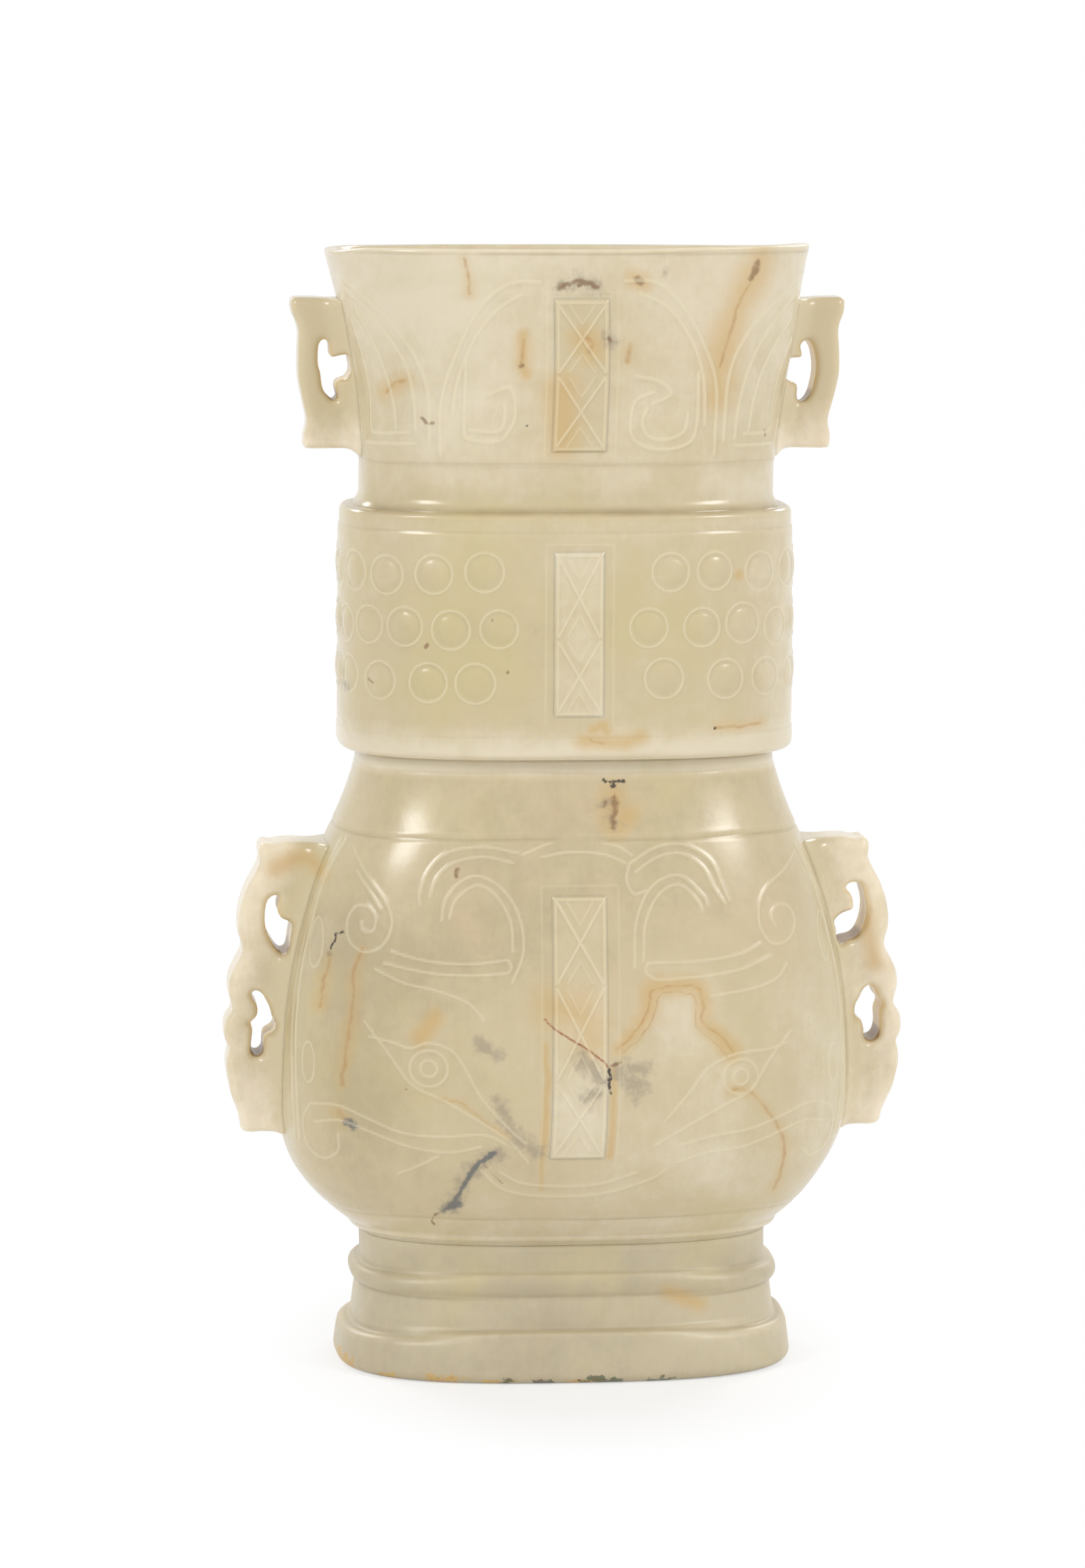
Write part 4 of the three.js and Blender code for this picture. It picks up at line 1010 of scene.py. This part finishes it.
# Stains in the stone, seen from the front: kind, half width, and points (x, z)
STAINS = (
    # mouth
    ("vein", 0.16, ((-20.4, 199.1), (-19.7, 196.6), (-19.4, 193))),
    ("ochre", 1.6, ((30.9, 196.7), (27.9, 191.6), (25.6, 184.5), (24.4, 180), (23.9, 175))),
    ("vein", 0.17, ((30, 194.7), (27.4, 190), (25.8, 184.5), (24.4, 180))),
    ("rust", 0.45, ((31.6, 198.4), (31.1, 197), (30, 195.4))),
    ("ochre", 1.5, ((32, 199), (30.4, 195.4))),
    ("haze", 0.9, ((-3.4, 194.2), (-0.9, 195.2), (1.2, 194.9), (3, 194.2))),
    ("rust", 0.34, ((-4, 193.9), (-2.6, 194.6), (-1, 195.4), (0.4, 195.2))),
    ("rust", 0.3, ((-0.6, 194.4), (1.2, 195), (2.8, 194.2))),
    ("rust", 0.45, ((9.8, 195.5), (10.5, 195.2))),
    ("ochre", 0.9, ((8.9, 195.4), (10.4, 194.9))),
    ("haze", 0.5, ((14.8, 196.8), (14.4, 196.2))),
    ("rust", 0.3, ((4.4, 185.4), (4.9, 185))),
    ("haze", 0.8, ((4.4, 185.4), (5.2, 184.6))),
    ("vein", 0.3, ((8.4, 184), (7.9, 181.4))),
    ("vein", 0.25, ((0.4, 185.6), (1.8, 184.4), (1.2, 183))),
    ("ochre", 1.4, ((0.8, 185), (1.8, 183.4))),
    ("ochre", 0.5, ((-10.4, 186), (-10.6, 181), (-9.8, 179))),
    ("rust", 0.3, ((-10.7, 180.4), (-10.3, 180.6))),
    ("vein", 0.2, ((-10.3, 185), (-10.5, 181))),
    ("vein", 0.2, ((-33.4, 175.6), (-32.2, 177.2), (-30.6, 177.6))),
    ("ochre", 1, ((-33.4, 175.6), (-30.6, 177.6))),
    ("rust", 0.2, ((-27.6, 171.2), (-26.4, 170.2), (-25.4, 170.4))),
    ("ink", 0.2, ((-9.4, 170),)),
    ("rust", 0.22, ((33.6, 168.6), (33.9, 167.6))),
    ("ochre", 1.6, ((-3.2, 176), (-3.2, 167))),
    # collar
    ("rust", 0.22, ((-26.7, 131.2), (-26.4, 131.7))),
    ("rust", 0.18, ((-36.2, 125), (-35.6, 124.5))),
    ("rust", 0.25, ((-12.5, 127),)),
    ("rust", 0.22, ((-15.2, 136.2),)),
    ("ochre", 0.45, ((28.6, 143.6),)),
    ("haze", 0.4, ((-39.9, 123.4), (-39.7, 122.6))),
    ("ink", 0.22, ((24.4, 116.8),)),
    ("vein", 0.16, ((24.4, 116.8), (29, 116.9), (33, 117.1))),
    ("ochre", 0.7, ((0.6, 114.9), (3.4, 115), (7.2, 114.6), (11, 115.6))),
    ("ochre", 0.5, ((2.4, 116.8), (4.2, 117.6), (4.9, 116.4))),
    ("vein", 0.12, ((1.8, 115.3), (3, 114.7), (4.6, 114.5))),
    # shoulder
    ("ink", 0.26, ((4.7, 107.7), (5.6, 107), (6.6, 107.3), (8.3, 107.4))),
    ("ink", 0.28, ((5.9, 107), (6.6, 106.2))),
    ("rust", 0.42, ((6.6, 104.9), (6.7, 103), (6.2, 101.2), (6.2, 99.8))),
    ("ochre", 1.3, ((6.6, 104.9), (6.4, 100.2), (8.8, 101.6))),
    ("haze", 0.6, ((4.4, 103.6), (5.4, 103.9))),
    ("rust", 0.28, ((4.9, 103.7), (4.7, 103.3))),
    ("haze", 0.8, ((5.6, 101), (6.8, 100.2))),
    ("ochre", 0.7, ((8.6, 102.2), (9.2, 100.6))),
    # belly and its handles
    ("ochre", 0.9, ((-52, 90), (-47, 92), (-44.5, 90))),
    ("ochre", 0.9, ((54.5, 80), (56, 72))),
    ("rust", 0.25, ((-21, 92.6), (-21.6, 92.2), (-21.5, 91.2))),
    ("ink", 0.12, ((-40.7, 80.6), (-42, 80.3), (-42.6, 78.9), (-43.1, 77.4))),
    ("rust", 0.35, ((-43.2, 76.6),)),
    ("vein", 0.18, ((-43.3, 76), (-44.4, 71), (-45, 67.4))),
    ("vein", 0.2, ((-37.8, 78.1), (-39.3, 73.9), (-39.5, 67.9), (-40.7, 60.7), (-41.3, 54))),
    ("crack", 0.17, ((-6.3, 66.6), (-5.2, 65.2), (-2.4, 63.4), (0.2, 61.9), (3.6, 59.4), (5.1, 57.6))),
    ("ochre", 2.2, ((-4.4, 68.4), (0.2, 66.6), (2, 62.4))),
    ("ink", 0.2, ((5.1, 57.6), (5.2, 56.2), (5, 54.9), (5.4, 53.2))),
    ("rust", 0.2, ((5.4, 58.2), (7.2, 58.8))),
    ("haze", 0.9, ((0, 59.8), (0.8, 58.2))),
    ("haze", 0.9, ((1.8, 58.4), (2.8, 56.6), (4.4, 55.8))),
    ("haze", 1.2, ((7, 57), (8.6, 55.6), (10.6, 54.2))),
    ("haze", 0.9, ((8.4, 58), (11.4, 57.4))),
    ("haze", 0.9, ((1, 52.2), (2.6, 53.2))),
    ("haze", 0.6, ((9.8, 52.2),)),
    ("vein", 0.13, LONG_VEIN),
    ("vein", 0.1, ((7.4, 60.4), (9.9, 62.4), (12, 64.9), (13.2, 67.6), (13.9, 70.4), (16.2, 70.9),
                    (19.5, 70.6), (20.6, 68.4), (20.5, 65), (24, 61.8), (26.3, 58.9))),
    ("ochre", 0.9, LONG_VEIN),
    ("vein", 0.18, ((27.3, 53.3), (30.4, 52.7), (34.2, 48.5), (37.2, 43.6), (37.6, 38), (36.4, 34))),
    ("haze", 0.9, ((-17.6, 62.2), (-14.6, 60.6))),
    ("haze", 0.9, ((-14.4, 52.4), (-12.6, 48), (-10.2, 45), (-6.8, 43))),
    ("vein", 0.1, ((-24.6, 52.4), (-20.6, 51.6), (-16.6, 48.4), (-12.4, 45.4))),
    ("slate", 0.32, ((-14.6, 42.8), (-16.4, 41.6), (-18, 40), (-19, 37.8), (-20.2, 35.4),
                    (-21, 33.8))),
    ("haze", 1, ((-14, 42.9), (-17.3, 40.9), (-19.8, 36.6), (-22, 32.8))),
    ("slate", 0.75, ((-20.6, 33.2), (-21.8, 32.3), (-22.8, 31.8))),
    ("rust", 0.16, ((-23.4, 31.4), (-24.6, 30.5), (-25.1, 29.4), (-24.6, 28.6))),
    ("rust", 0.1, ((-16.4, 40.8), (-12.9, 37.2))),
    ("slate", 0.62, ((-40.3, 47.3), (-39.4, 46.8))),
    ("vein", 0.3, ((-41.8, 49), (-40.8, 47.8))),
    ("ochre", 0.8, ((-28, 63), (-25.4, 67))),
    ("rust", 0.22, ((-30.4, 54),)),
    ("ochre", 0.8, ((22.6, 13), (17, 15.4))),
    # beside the belly's flange
    ("ochre", 0.32, ((-6.1, 62), (-6, 50), (-6, 41), (-5.9, 36))),
    ("ochre", 0.32, ((5.9, 58), (5.8, 50), (5.8, 42))),
)
# Milky and darker clouds of the stone: place (x, z), half sizes, and how much paler it is there. The
# pale spots at the belly's sides, beside the handles, are painted light where the wall turns from the
# lamps.
CLOUDS_AND_PAINTED_LIGHT = (
    ((18, 57), (15, 15), 0.85), ((26, 40), (15, 8), 0.7),
    ((-24, 48), (8, 7), 0.3), ((0, 34), (16, 5), 0.35), ((-15, 33), (9, 4), 0.35),
    ((2, 62), (6, 6), 0.35), ((0, 48), (6, 8), 0.5), ((-4, 66), (14, 12), 0.25),
    ((-12, 56), (8, 11), 0.3), ((33, 62), (10, 12), 0.2),
    ((18, 68), (6, 6), 0.5), ((-40, 60), (9, 22), -0.4), ((-28, 78), (22, 10), -0.25),
    ((27, 85), (14, 8), -0.1), ((0, 104), (26, 6), -0.1), ((-14, 128), (14, 14), -0.3),
    ((-30, 140), (10, 12), -0.1), ((16, 130), (12, 12), -0.12), ((14, 76), (10, 10), 0.1),
    ((38, 130), (6, 24), 0.5), ((-34, 188), (12, 10), 0.45), ((-22, 193), (10, 8), 0.5),
    ((25, 188), (14, 9), 0.3), ((0, 188), (5, 6), -0.3), ((0, 172), (5, 7), -0.1),
    ((-22, 172), (10, 9), 0.6), ((20, 176), (10, 8), 0.1), ((30, 8), (14, 8), 0.55),
    ((-34, 20), (9, 7), 0.4), ((8, 18), (14, 5), 0.1), ((-30, 8), (12, 8), 0.25),
    # Painted light: paler at the belly's sides beside the handles
    ((44, 62), (9, 30), 0.7), ((-46, 60), (6, 30), 0.2), ((52, 48), (8, 12), 0.6),
    ((-54, 46), (7, 10), 0.6), ((32, 158), (10, 5), 0.6),
)
# Where the stone is more olive (plus) or rosier (minus): place (x, z), half sizes and amount
HUES = (
    ((-20, 138), (20, 15), 0.7), ((16, 134), (10, 14), 0.5), ((-26, 124), (14, 7), 0.5),
    ((3, 103), (10, 7), -0.6), ((-22, 84), (9, 10), -0.45), ((-34, 100), (14, 10), 0.35),
    ((28, 84), (14, 12), -0.3), ((-32, 62), (12, 16), 0.45), ((24, 58), (16, 10), 0.2),
    ((0, 156), (30, 4), 0.4), ((-20, 182), (12, 9), 0.25), ((22, 180), (10, 10), -0.3),
    ((0, 18), (40, 6), 0.3), ((30, 30), (18, 6), 0.35), ((-48, 70), (6, 26), 0.5),
    ((47, 76), (5, 24), 0.4), ((17, 105), (9, 6), 0.6),
)
# Paleness by height: partly the stone's tone, partly painted light and shade. Paler under the collar's
# overhang and over the belly's lower edge, where shade falls; darker on the collar's top face, painted
# shade with some dirt; darker towards the bottom.
TONES_AND_PAINTED_LIGHT = (
    (0, -0.5), (6, -0.4), (14, -0.4), (17, -0.75), (23, -0.3), (24.5, 0.7), (26, 0.6), (29, 0.4),
    (31, -0.05), (55, -0.3), (80, -0.25), (100, -0.25), (107.5, -0.2), (109, 1.0), (111.5, 1.6),
    (115, 0.8), (118, 0.2), (135, 0.15), (153, 0.3), (155, -0.3), (157, 0.4), (165, 0.35),
    (185, 0.45), (200, 0.75),
)
# A stain's field reaches this many half widths from its line, and the ochre cloud round a vein
# reaches further by another factor.
STAIN_REACH = 4.0
VEIN_CLOUD_REACH = 4.0
VEIN_CLOUD = 0.7
# How far the points of a line are moved at random
CRACK_WANDER = 0.05
STAIN_WANDER = 0.11


def wobbled(points, random, amount):
    """A line with more points, each moved a little, as a crack runs."""
    if len(points) < 2:
        return np.array(points, float)
    line = smooth_line(points, pieces=4)
    line[1:-1] += random.normal(0, amount, line[1:-1].shape)
    return line


def clouds(x, z, spots):
    """The sum of soft round spots at each place."""
    total = np.zeros(len(x))
    for (spot_x, spot_z), (half_wide, half_high), amount in spots:
        gap = ((x - spot_x) / half_wide) ** 2 + ((z - spot_z) / half_high) ** 2
        total += amount * np.exp(-gap)
    return total


def stain_fields(mesh):
    """Writes how near each point is to the stains, 1 on one and 0 out of its reach.

    A stain's edge is where its field passes 0.75. Each vein lies in a wider ochre cloud.
    """
    x, y, z = get_points(mesh).T
    front = step_up(-y, -1.0, 3.0)
    random = np.random.default_rng(21)
    fields = {kind: np.zeros(len(x)) for kind in STAIN_PAINTS}
    for kind, half, line in STAINS:
        path = wobbled(line, random, CRACK_WANDER if kind == "crack" else STAIN_WANDER)
        reach = STAIN_REACH * half
        fields[kind] = np.maximum(fields[kind], nearness(x, z, path, reach) * front)
        if kind == "vein":
            near = nearness(x, z, path, reach * VEIN_CLOUD_REACH)
            fields["ochre"] = np.maximum(fields["ochre"], VEIN_CLOUD * near * front)
    for kind, values in fields.items():
        set_field(mesh, kind, values)


def stone_fields(mesh):
    """Writes the stone's tone with its painted light, its hue, the painted shade and dirt in its
    creases, and 0 for fields that it lacks.
    """
    x, y, z = get_points(mesh).T
    seen_x = x * np.where(y < 0, 1, -1)
    # The tone field: painted light and shade by height, and the stone's clouds with painted light at the
    # belly's sides
    set_field(mesh, "tone_and_painted_light", by_height(z, TONES_AND_PAINTED_LIGHT) + clouds(seen_x, z, CLOUDS_AND_PAINTED_LIGHT))
    set_field(mesh, "hue", clouds(seen_x, z, HUES))
    # The foot's ledges lie lower at its ends, the lower one most.
    drop = np.select((z < 12, z < 22), (1.4, 0.4), 0.0) * step_up(abs(x), *FOOT_TURNS)
    # Painted shade, with some dirt, in the corners of the mouldings
    crease_shade_and_dirt = np.zeros(len(x))
    for height, half, amount in CREASE_SHADE_AND_DIRT:
        crease_shade_and_dirt = np.maximum(crease_shade_and_dirt, amount * bump(abs(z + drop - height), half))
    set_field(mesh, "crease_shade_and_dirt", crease_shade_and_dirt)
    for name in ("carved", "milk"):
        if name not in mesh.attributes:
            set_field(mesh, name, np.zeros(len(x)))


# Materials


def linear(red, green, blue):
    """A screen colour, 0 to 255, as the linear colour that the shaders take."""
    values = (c / 255 for c in (red, green, blue))
    return (*(c / 12.92 if c <= 0.04045 else ((c + 0.055) / 1.055) ** 2.4 for c in values), 1.0)


class Graph:
    """Adds nodes to one tree, with each input a number, a colour or another node's output."""

    def __init__(self, tree):
        self.tree = tree

    def add(self, kind, inputs, output=0, **settings):
        node = self.tree.nodes.new("ShaderNode" + kind)
        for key, value in settings.items():
            setattr(node, key, value)
        for key, value in inputs.items():
            if isinstance(value, bpy.types.NodeSocket):
                self.tree.links.new(value, node.inputs[key])
            else:
                node.inputs[key].default_value = value
        return node.outputs[output]

    def math(self, operation, a, b):
        return self.add("Math", {0: a, 1: b}, operation=operation)

    def field(self, name):
        return self.add("Attribute", {}, output=2, attribute_name=name)

    def mix(self, part, a, b):
        return self.add("Mix", {0: part, 6: a, 7: b}, output=2, data_type="RGBA")

    def step(self, value, low, high, top=1.0):
        """A smooth step from 0 at the low value to the top at the high one."""
        return self.add("MapRange", {0: value, 1: low, 2: high, 3: 0.0, 4: top},
                        interpolation_type="SMOOTHSTEP")

    def noise(self, place, scale, detail, roughness, distortion=0.0):
        return self.add("TexNoise", {"Vector": place, "Scale": scale, "Detail": detail,
                                     "Roughness": roughness, "Distortion": distortion})

    def centred(self, noise, amount):
        """A noise spread to both sides of 0, times the amount."""
        return self.math("MULTIPLY", self.math("SUBTRACT", noise, 0.5), amount)

    def seen(self):
        """1 for rays that show the background: seen directly, in a reflection or through glass."""
        ray = self.add("LightPath", {}).node.outputs
        indirect = self.math("MAXIMUM", ray["Is Glossy Ray"], ray["Is Transmission Ray"])
        return self.math("MAXIMUM", ray["Is Camera Ray"], indirect)

    def show(self, shader):
        """Makes the shader the surface of the tree's material."""
        output = self.tree.nodes.new("ShaderNodeOutputMaterial")
        self.tree.links.new(shader, output.inputs["Surface"])


# Dark, middle and pale paints of the stone, the foot and the handles. The handles' paints are partly
# painted light: paler to make up for the lesser lamp light that they take.
STONE_PAINTS = (linear(190, 175, 141), linear(209, 194, 159), linear(226, 215, 190))
FOOT_PAINTS = (linear(188, 176, 149), linear(205, 193, 164), linear(226, 215, 190))
HANDLE_PAINTS = (linear(216, 202, 172), linear(214, 199, 164), linear(242, 230, 207))
OLIVE = linear(206, 192, 142)
ROSE = linear(216, 193, 160)
# Painted highlight, with some polish, on the raised lines' tops, and painted shade in the grooves
POLISH_AND_HIGHLIGHT = linear(226, 216, 186)
GROOVE_SHADE = linear(174, 154, 108)
# Painted shade, with some dirt, in the creases
DIRT_AND_SHADE = linear(146, 124, 84)
# Painted light: pale paint on the openings' walls, which lie in shade
BORE_PAINTED_LIGHT = linear(252, 232, 188)
# Dirt and painted shade at the bottoms of the openings
GRIME_AND_SHADE = linear(150, 118, 60)
# Remains of the old stand: field, paint, and the paint of its specks
RESIDUE_PAINTS = (
    ("old_ochre", linear(210, 180, 100), linear(206, 150, 84)),
    ("old_green", linear(62, 92, 60), linear(104, 62, 40)),
)
# Stains, in the order of painting: paint, the values where it starts and where it is full, how much
# the noise breaks it up, strength, and the noise
STAIN_PAINTS = {
    "ochre": (linear(208, 172, 106), 0.15, 1.1, 0.8, 0.6, "cloud"),
    "haze": (linear(160, 146, 126), 0.4, 1.05, 1.7, 0.6, "grain"),
    "vein": (linear(184, 138, 84), 0.3, 1.15, 1.3, 0.5, "grain"),
    "rust": (linear(134, 98, 60), 0.5, 0.95, 1.1, 0.7, "grain"),
    "slate": (linear(108, 110, 108), 0.5, 0.9, 1.0, 0.85, "grain"),
    "crack": (linear(160, 92, 44), 0.55, 0.9, 0.4, 0.8, "fine"),
    "ink": (linear(56, 45, 40), 0.55, 0.85, 0.8, 0.92, "fine"),
}
# Noises: scale per millimetre, detail, roughness and distortion. Fibres are drawn out in height.
NOISES = {
    "broad": (0.03, 2.0, 0.5, 0.3),
    "cloud": (0.085, 3.0, 0.5, 0.25),
    "patch": (0.24, 4.0, 0.6, 0.4),
    "grain": (0.55, 4.0, 0.62),
    "fine": (1.9, 3.0, 0.6),
    "hue": (0.07, 4.0, 0.6, 0.5),
    "pits": (0.9, 2.0, 0.5),
}
FIBRE_NOISE = (0.8, 3.0, 0.6, 0.5)
FIBRE_STRETCH = (1.3, 1.3, 0.22)
RAGGED_NOISE = (0.5, 3.0, 0.6, 0.4)
TONE_NOISES = (("broad", 0.9), ("cloud", 0.8), ("patch", 0.9), ("grain", 0.45), ("fibre", 0.35))
# Roughness stays wholly under 0.27 or wholly over it, because the denoiser leaves pale patches
# where one surface crosses it.
POLISH = (0.19, 0.26)
SATIN = (0.36, 0.44)
# How far light spreads under the surface, in metres. Much further, it darkens where pieces meet.
STONE_SCATTER = 0.001
HANDLE_SCATTER = 0.0014


def new_material(name):
    """A new material, and the graph of its empty tree."""
    material = bpy.data.materials.new(name)
    material.use_nodes = True
    material.node_tree.nodes.clear()
    return material, Graph(material.node_tree)


def stone_colour(g, noise, dark, middle, pale):
    """Clouds of darker and paler stone, with the painted light and shade of the tone field, and of more
    olive and rosier stone.
    """
    tone_and_painted_light = g.math("ADD", g.field("tone_and_painted_light"), g.field("milk"))
    for name, amount in TONE_NOISES:
        tone_and_painted_light = g.math("ADD", tone_and_painted_light, g.centred(noise[name], amount))
    colour = g.mix(g.step(tone_and_painted_light, -0.9, 0.15), dark, middle)
    colour = g.mix(g.step(tone_and_painted_light, 0.0, 1.25), colour, pale)
    hue = g.math("ADD", g.field("hue"), g.centred(noise["hue"], 2.2))
    colour = g.mix(g.step(hue, 0.0, 1.0, 0.6), colour, OLIVE)
    return g.mix(g.step(g.math("MULTIPLY", hue, -1.0), 0.0, 1.0, 0.5), colour, ROSE)


def stained(g, noise, colour):
    """Paints the stains: each field is broken up by a noise, and sharpened."""
    for kind, (paint, low, high, broken, strength, texture) in STAIN_PAINTS.items():
        value = g.math("ADD", g.field(kind), g.centred(noise[texture], broken))
        colour = g.mix(g.step(value, low, high, strength), colour, paint)
    return colour


def painted_light_and_dirt(g, noise, colour):
    """Painted highlight on the carving's tops and painted shade in its grooves, painted shade and dirt
    in the creases, painted light on the openings' walls, and dirt and painted shade at their bottoms.
    """
    carved = g.field("carved")
    # Painted highlight on the raised lines' tops, painted shade in their grooves
    colour = g.mix(g.step(carved, 0.02, 0.13, 0.45), colour, POLISH_AND_HIGHLIGHT)
    colour = g.mix(g.step(g.math("MULTIPLY", carved, -1.0), 0.02, 0.2, 0.5), colour, GROOVE_SHADE)
    # Painted shade, with some dirt, darkens the creases.
    shade_and_dirt = g.math("MULTIPLY", g.field("crease_shade_and_dirt"), g.step(noise["cloud"], 0.2, 0.65))
    colour = g.mix(shade_and_dirt, colour, DIRT_AND_SHADE)
    # Painted light on the openings' walls
    colour = g.mix(g.step(g.field("bore"), 0.0, 0.8, 0.85), colour, BORE_PAINTED_LIGHT)
    # Dirt and painted shade at the openings' bottoms
    return g.mix(g.step(g.field("grime_and_shade"), 0.1, 0.6, 0.8), colour, GRIME_AND_SHADE)


def residue(g, place, noise, colour):
    """Ochre, green and red remains of an old stand along the lower edge of the foot's front."""
    ragged = g.centred(g.noise(place, *RAGGED_NOISE), 2.4)
    specks = g.step(noise["fine"], 0.5, 0.58)
    for kind, paint, other in RESIDUE_PAINTS:
        amount = g.step(g.math("ADD", g.field(kind), ragged), 0.55, 0.85, 0.75)
        colour = g.mix(amount, colour, g.mix(specks, paint, other))
    return colour


def jade(name, paints, scatter=STONE_SCATTER, roughness=POLISH, old_stand=False):
    """Polished nephrite: clouded, faintly veined, waxy, with light under its surface."""
    material, g = new_material(name)
    place = g.add("VectorMath", {0: g.add("TexCoord", {}, output=3), 3: 1 / MM}, operation="SCALE")
    noise = {kind: g.noise(place, *settings) for kind, settings in NOISES.items()}
    drawn = g.add("VectorMath", {0: place, 1: FIBRE_STRETCH}, operation="MULTIPLY")
    noise["fibre"] = g.noise(drawn, *FIBRE_NOISE)
    colour = stained(g, noise, stone_colour(g, noise, *paints))
    colour = painted_light_and_dirt(g, noise, colour)
    if old_stand:
        colour = residue(g, place, noise, colour)

    rough = g.add("MapRange", {0: noise["cloud"], 1: 0.2, 2: 0.8, 3: roughness[0], 4: roughness[1]})
    shine = g.math("SUBTRACT", 0.5, g.step(g.field("bore"), 0.0, 0.5, 0.42))
    pits, fine = g.math("MULTIPLY", noise["pits"], 0.6), g.math("MULTIPLY", noise["fine"], 0.5)
    height = g.math("ADD", pits, fine)
    surface = g.add("Bump", {"Strength": 0.35, "Distance": 0.00006, "Height": height})
    g.show(g.add("BsdfPrincipled", {
        "Base Color": colour, "Roughness": rough, "IOR": 1.55, "Normal": surface,
        "Specular IOR Level": shine,
        "Subsurface Weight": 0.6, "Subsurface Radius": (1.0, 0.82, 0.55), "Subsurface Scale": scatter,
    }))
    return material


# The stage: strength of the surroundings' light, and how white the floor glows by itself where the
# vase's shadow falls. It gets fully white between two radii of an oval, in metres.
AMBIENT = 0.505
FLOOR_GLOW = 0.43
FLOOR_OVAL = (1.15, 0.75, 1.0)
FLOOR_FADE = (0.03, 0.066)
FLOOR_HALF = 3.0
# Softboxes: azimuth from the camera, elevation, distance in metres, size in metres, watts
LAMPS = (
    (-45.0, 33.0, 0.95, (0.24, 0.32), 2.8),
    (56.0, 33.0, 0.95, (0.24, 0.32), 2.9),
    (150.0, 33.0, 0.95, (0.24, 0.32), 1.9),
    (-142.0, 33.0, 0.95, (0.24, 0.32), 1.9),
)


def floor_material():
    """White floor: seen directly it turns to plain white away from the vase's own shadow."""
    material, g = new_material("floor")
    oval = g.add("VectorMath", {0: g.add("TexCoord", {}, output=3), 1: FLOOR_OVAL}, operation="MULTIPLY")
    far = g.add("VectorMath", {0: oval}, output=1, operation="LENGTH")
    matt = g.add("BsdfDiffuse", {"Color": linear(250, 250, 250)})
    glow = g.add("Emission", {"Color": (1, 1, 1, 1), "Strength": 1.0})
    part = g.add("MapRange", {0: far, 1: FLOOR_FADE[0], 2: FLOOR_FADE[1], 3: FLOOR_GLOW, 4: 1.0},
                 interpolation_type="SMOOTHSTEP")
    g.show(g.add("MixShader", {0: g.math("MULTIPLY", part, g.seen()), 1: matt, 2: glow}))
    return material


def make_stage():
    """Floor, white surroundings, and two softboxes in front and two behind."""
    corners = [(x * FLOOR_HALF, y * FLOOR_HALF, 0) for x, y in ((-1, -1), (1, -1), (1, 1), (-1, 1))]
    mesh = bpy.data.meshes.new("floor")
    mesh.from_pydata(corners, [], [(0, 1, 2, 3)])
    mesh.materials.append(floor_material())
    floor = linked("floor", mesh)

    world = bpy.data.worlds.new("world")
    bpy.context.scene.world = world
    world.use_nodes = True
    g = Graph(world.node_tree)
    strength = g.add("MapRange", {0: g.seen(), 1: 0.0, 2: 1.0, 3: AMBIENT, 4: 1.0})
    background = world.node_tree.nodes["Background"]
    background.inputs["Color"].default_value = (1, 1, 1, 1)
    world.node_tree.links.new(strength, background.inputs["Strength"])

    for number, (azimuth, elevation, far, size, power) in enumerate(LAMPS):
        light = bpy.data.lights.new(f"softbox_{number}", "AREA")
        light.shape = "RECTANGLE"
        light.size, light.size_y = size
        light.energy = power
        lamp = linked(light.name, light)
        way = direction(azimuth + CAMERA_AZIMUTH, elevation)
        lamp.location = Vector((0, 0, CAMERA_AIM_HEIGHT * MM)) + way * far
        lamp.rotation_mode = "QUATERNION"
        lamp.rotation_quaternion = (-way).to_track_quat("-Z", "Y")


def make_vase():
    """Every piece of the vase, each in place of its CAD node."""
    stone = jade("jade", STONE_PAINTS)
    base = jade("jade_foot", FOOT_PAINTS, roughness=SATIN, old_stand=True)
    ear = jade("jade_handle", HANDLE_PAINTS, scatter=HANDLE_SCATTER)
    work = [
        ("vessel", vessel_mesh(), "jade", stone),
        ("collar", collar_mesh(), "jade", stone),
        ("foot", foot_mesh(), "jade", base),
    ]
    for name, *shape in FLANGES:
        for turn, end in enumerate(("front", "back")):
            node = f"{name}_{end}"
            work.append((node, flange_mesh(node, *shape, turn), "jade", stone))
    for side, end in ((-1, "left"), (1, "right")):
        for name, outline, openings, *shape in HANDLES:
            node = f"{name}_{end}"
            mesh = handle_mesh(node, outline, openings[side > 0], *shape, side)
            work.append((node, mesh, "handle_jade", ear))
    for node, mesh, slot, material in work:
        stain_fields(mesh)
        stone_fields(mesh)
        lean(mesh)
        place(node, mesh, slot, material)


place_camera()
make_vase()
make_stage()

bpy.context.scene.view_settings.view_transform = "Standard"
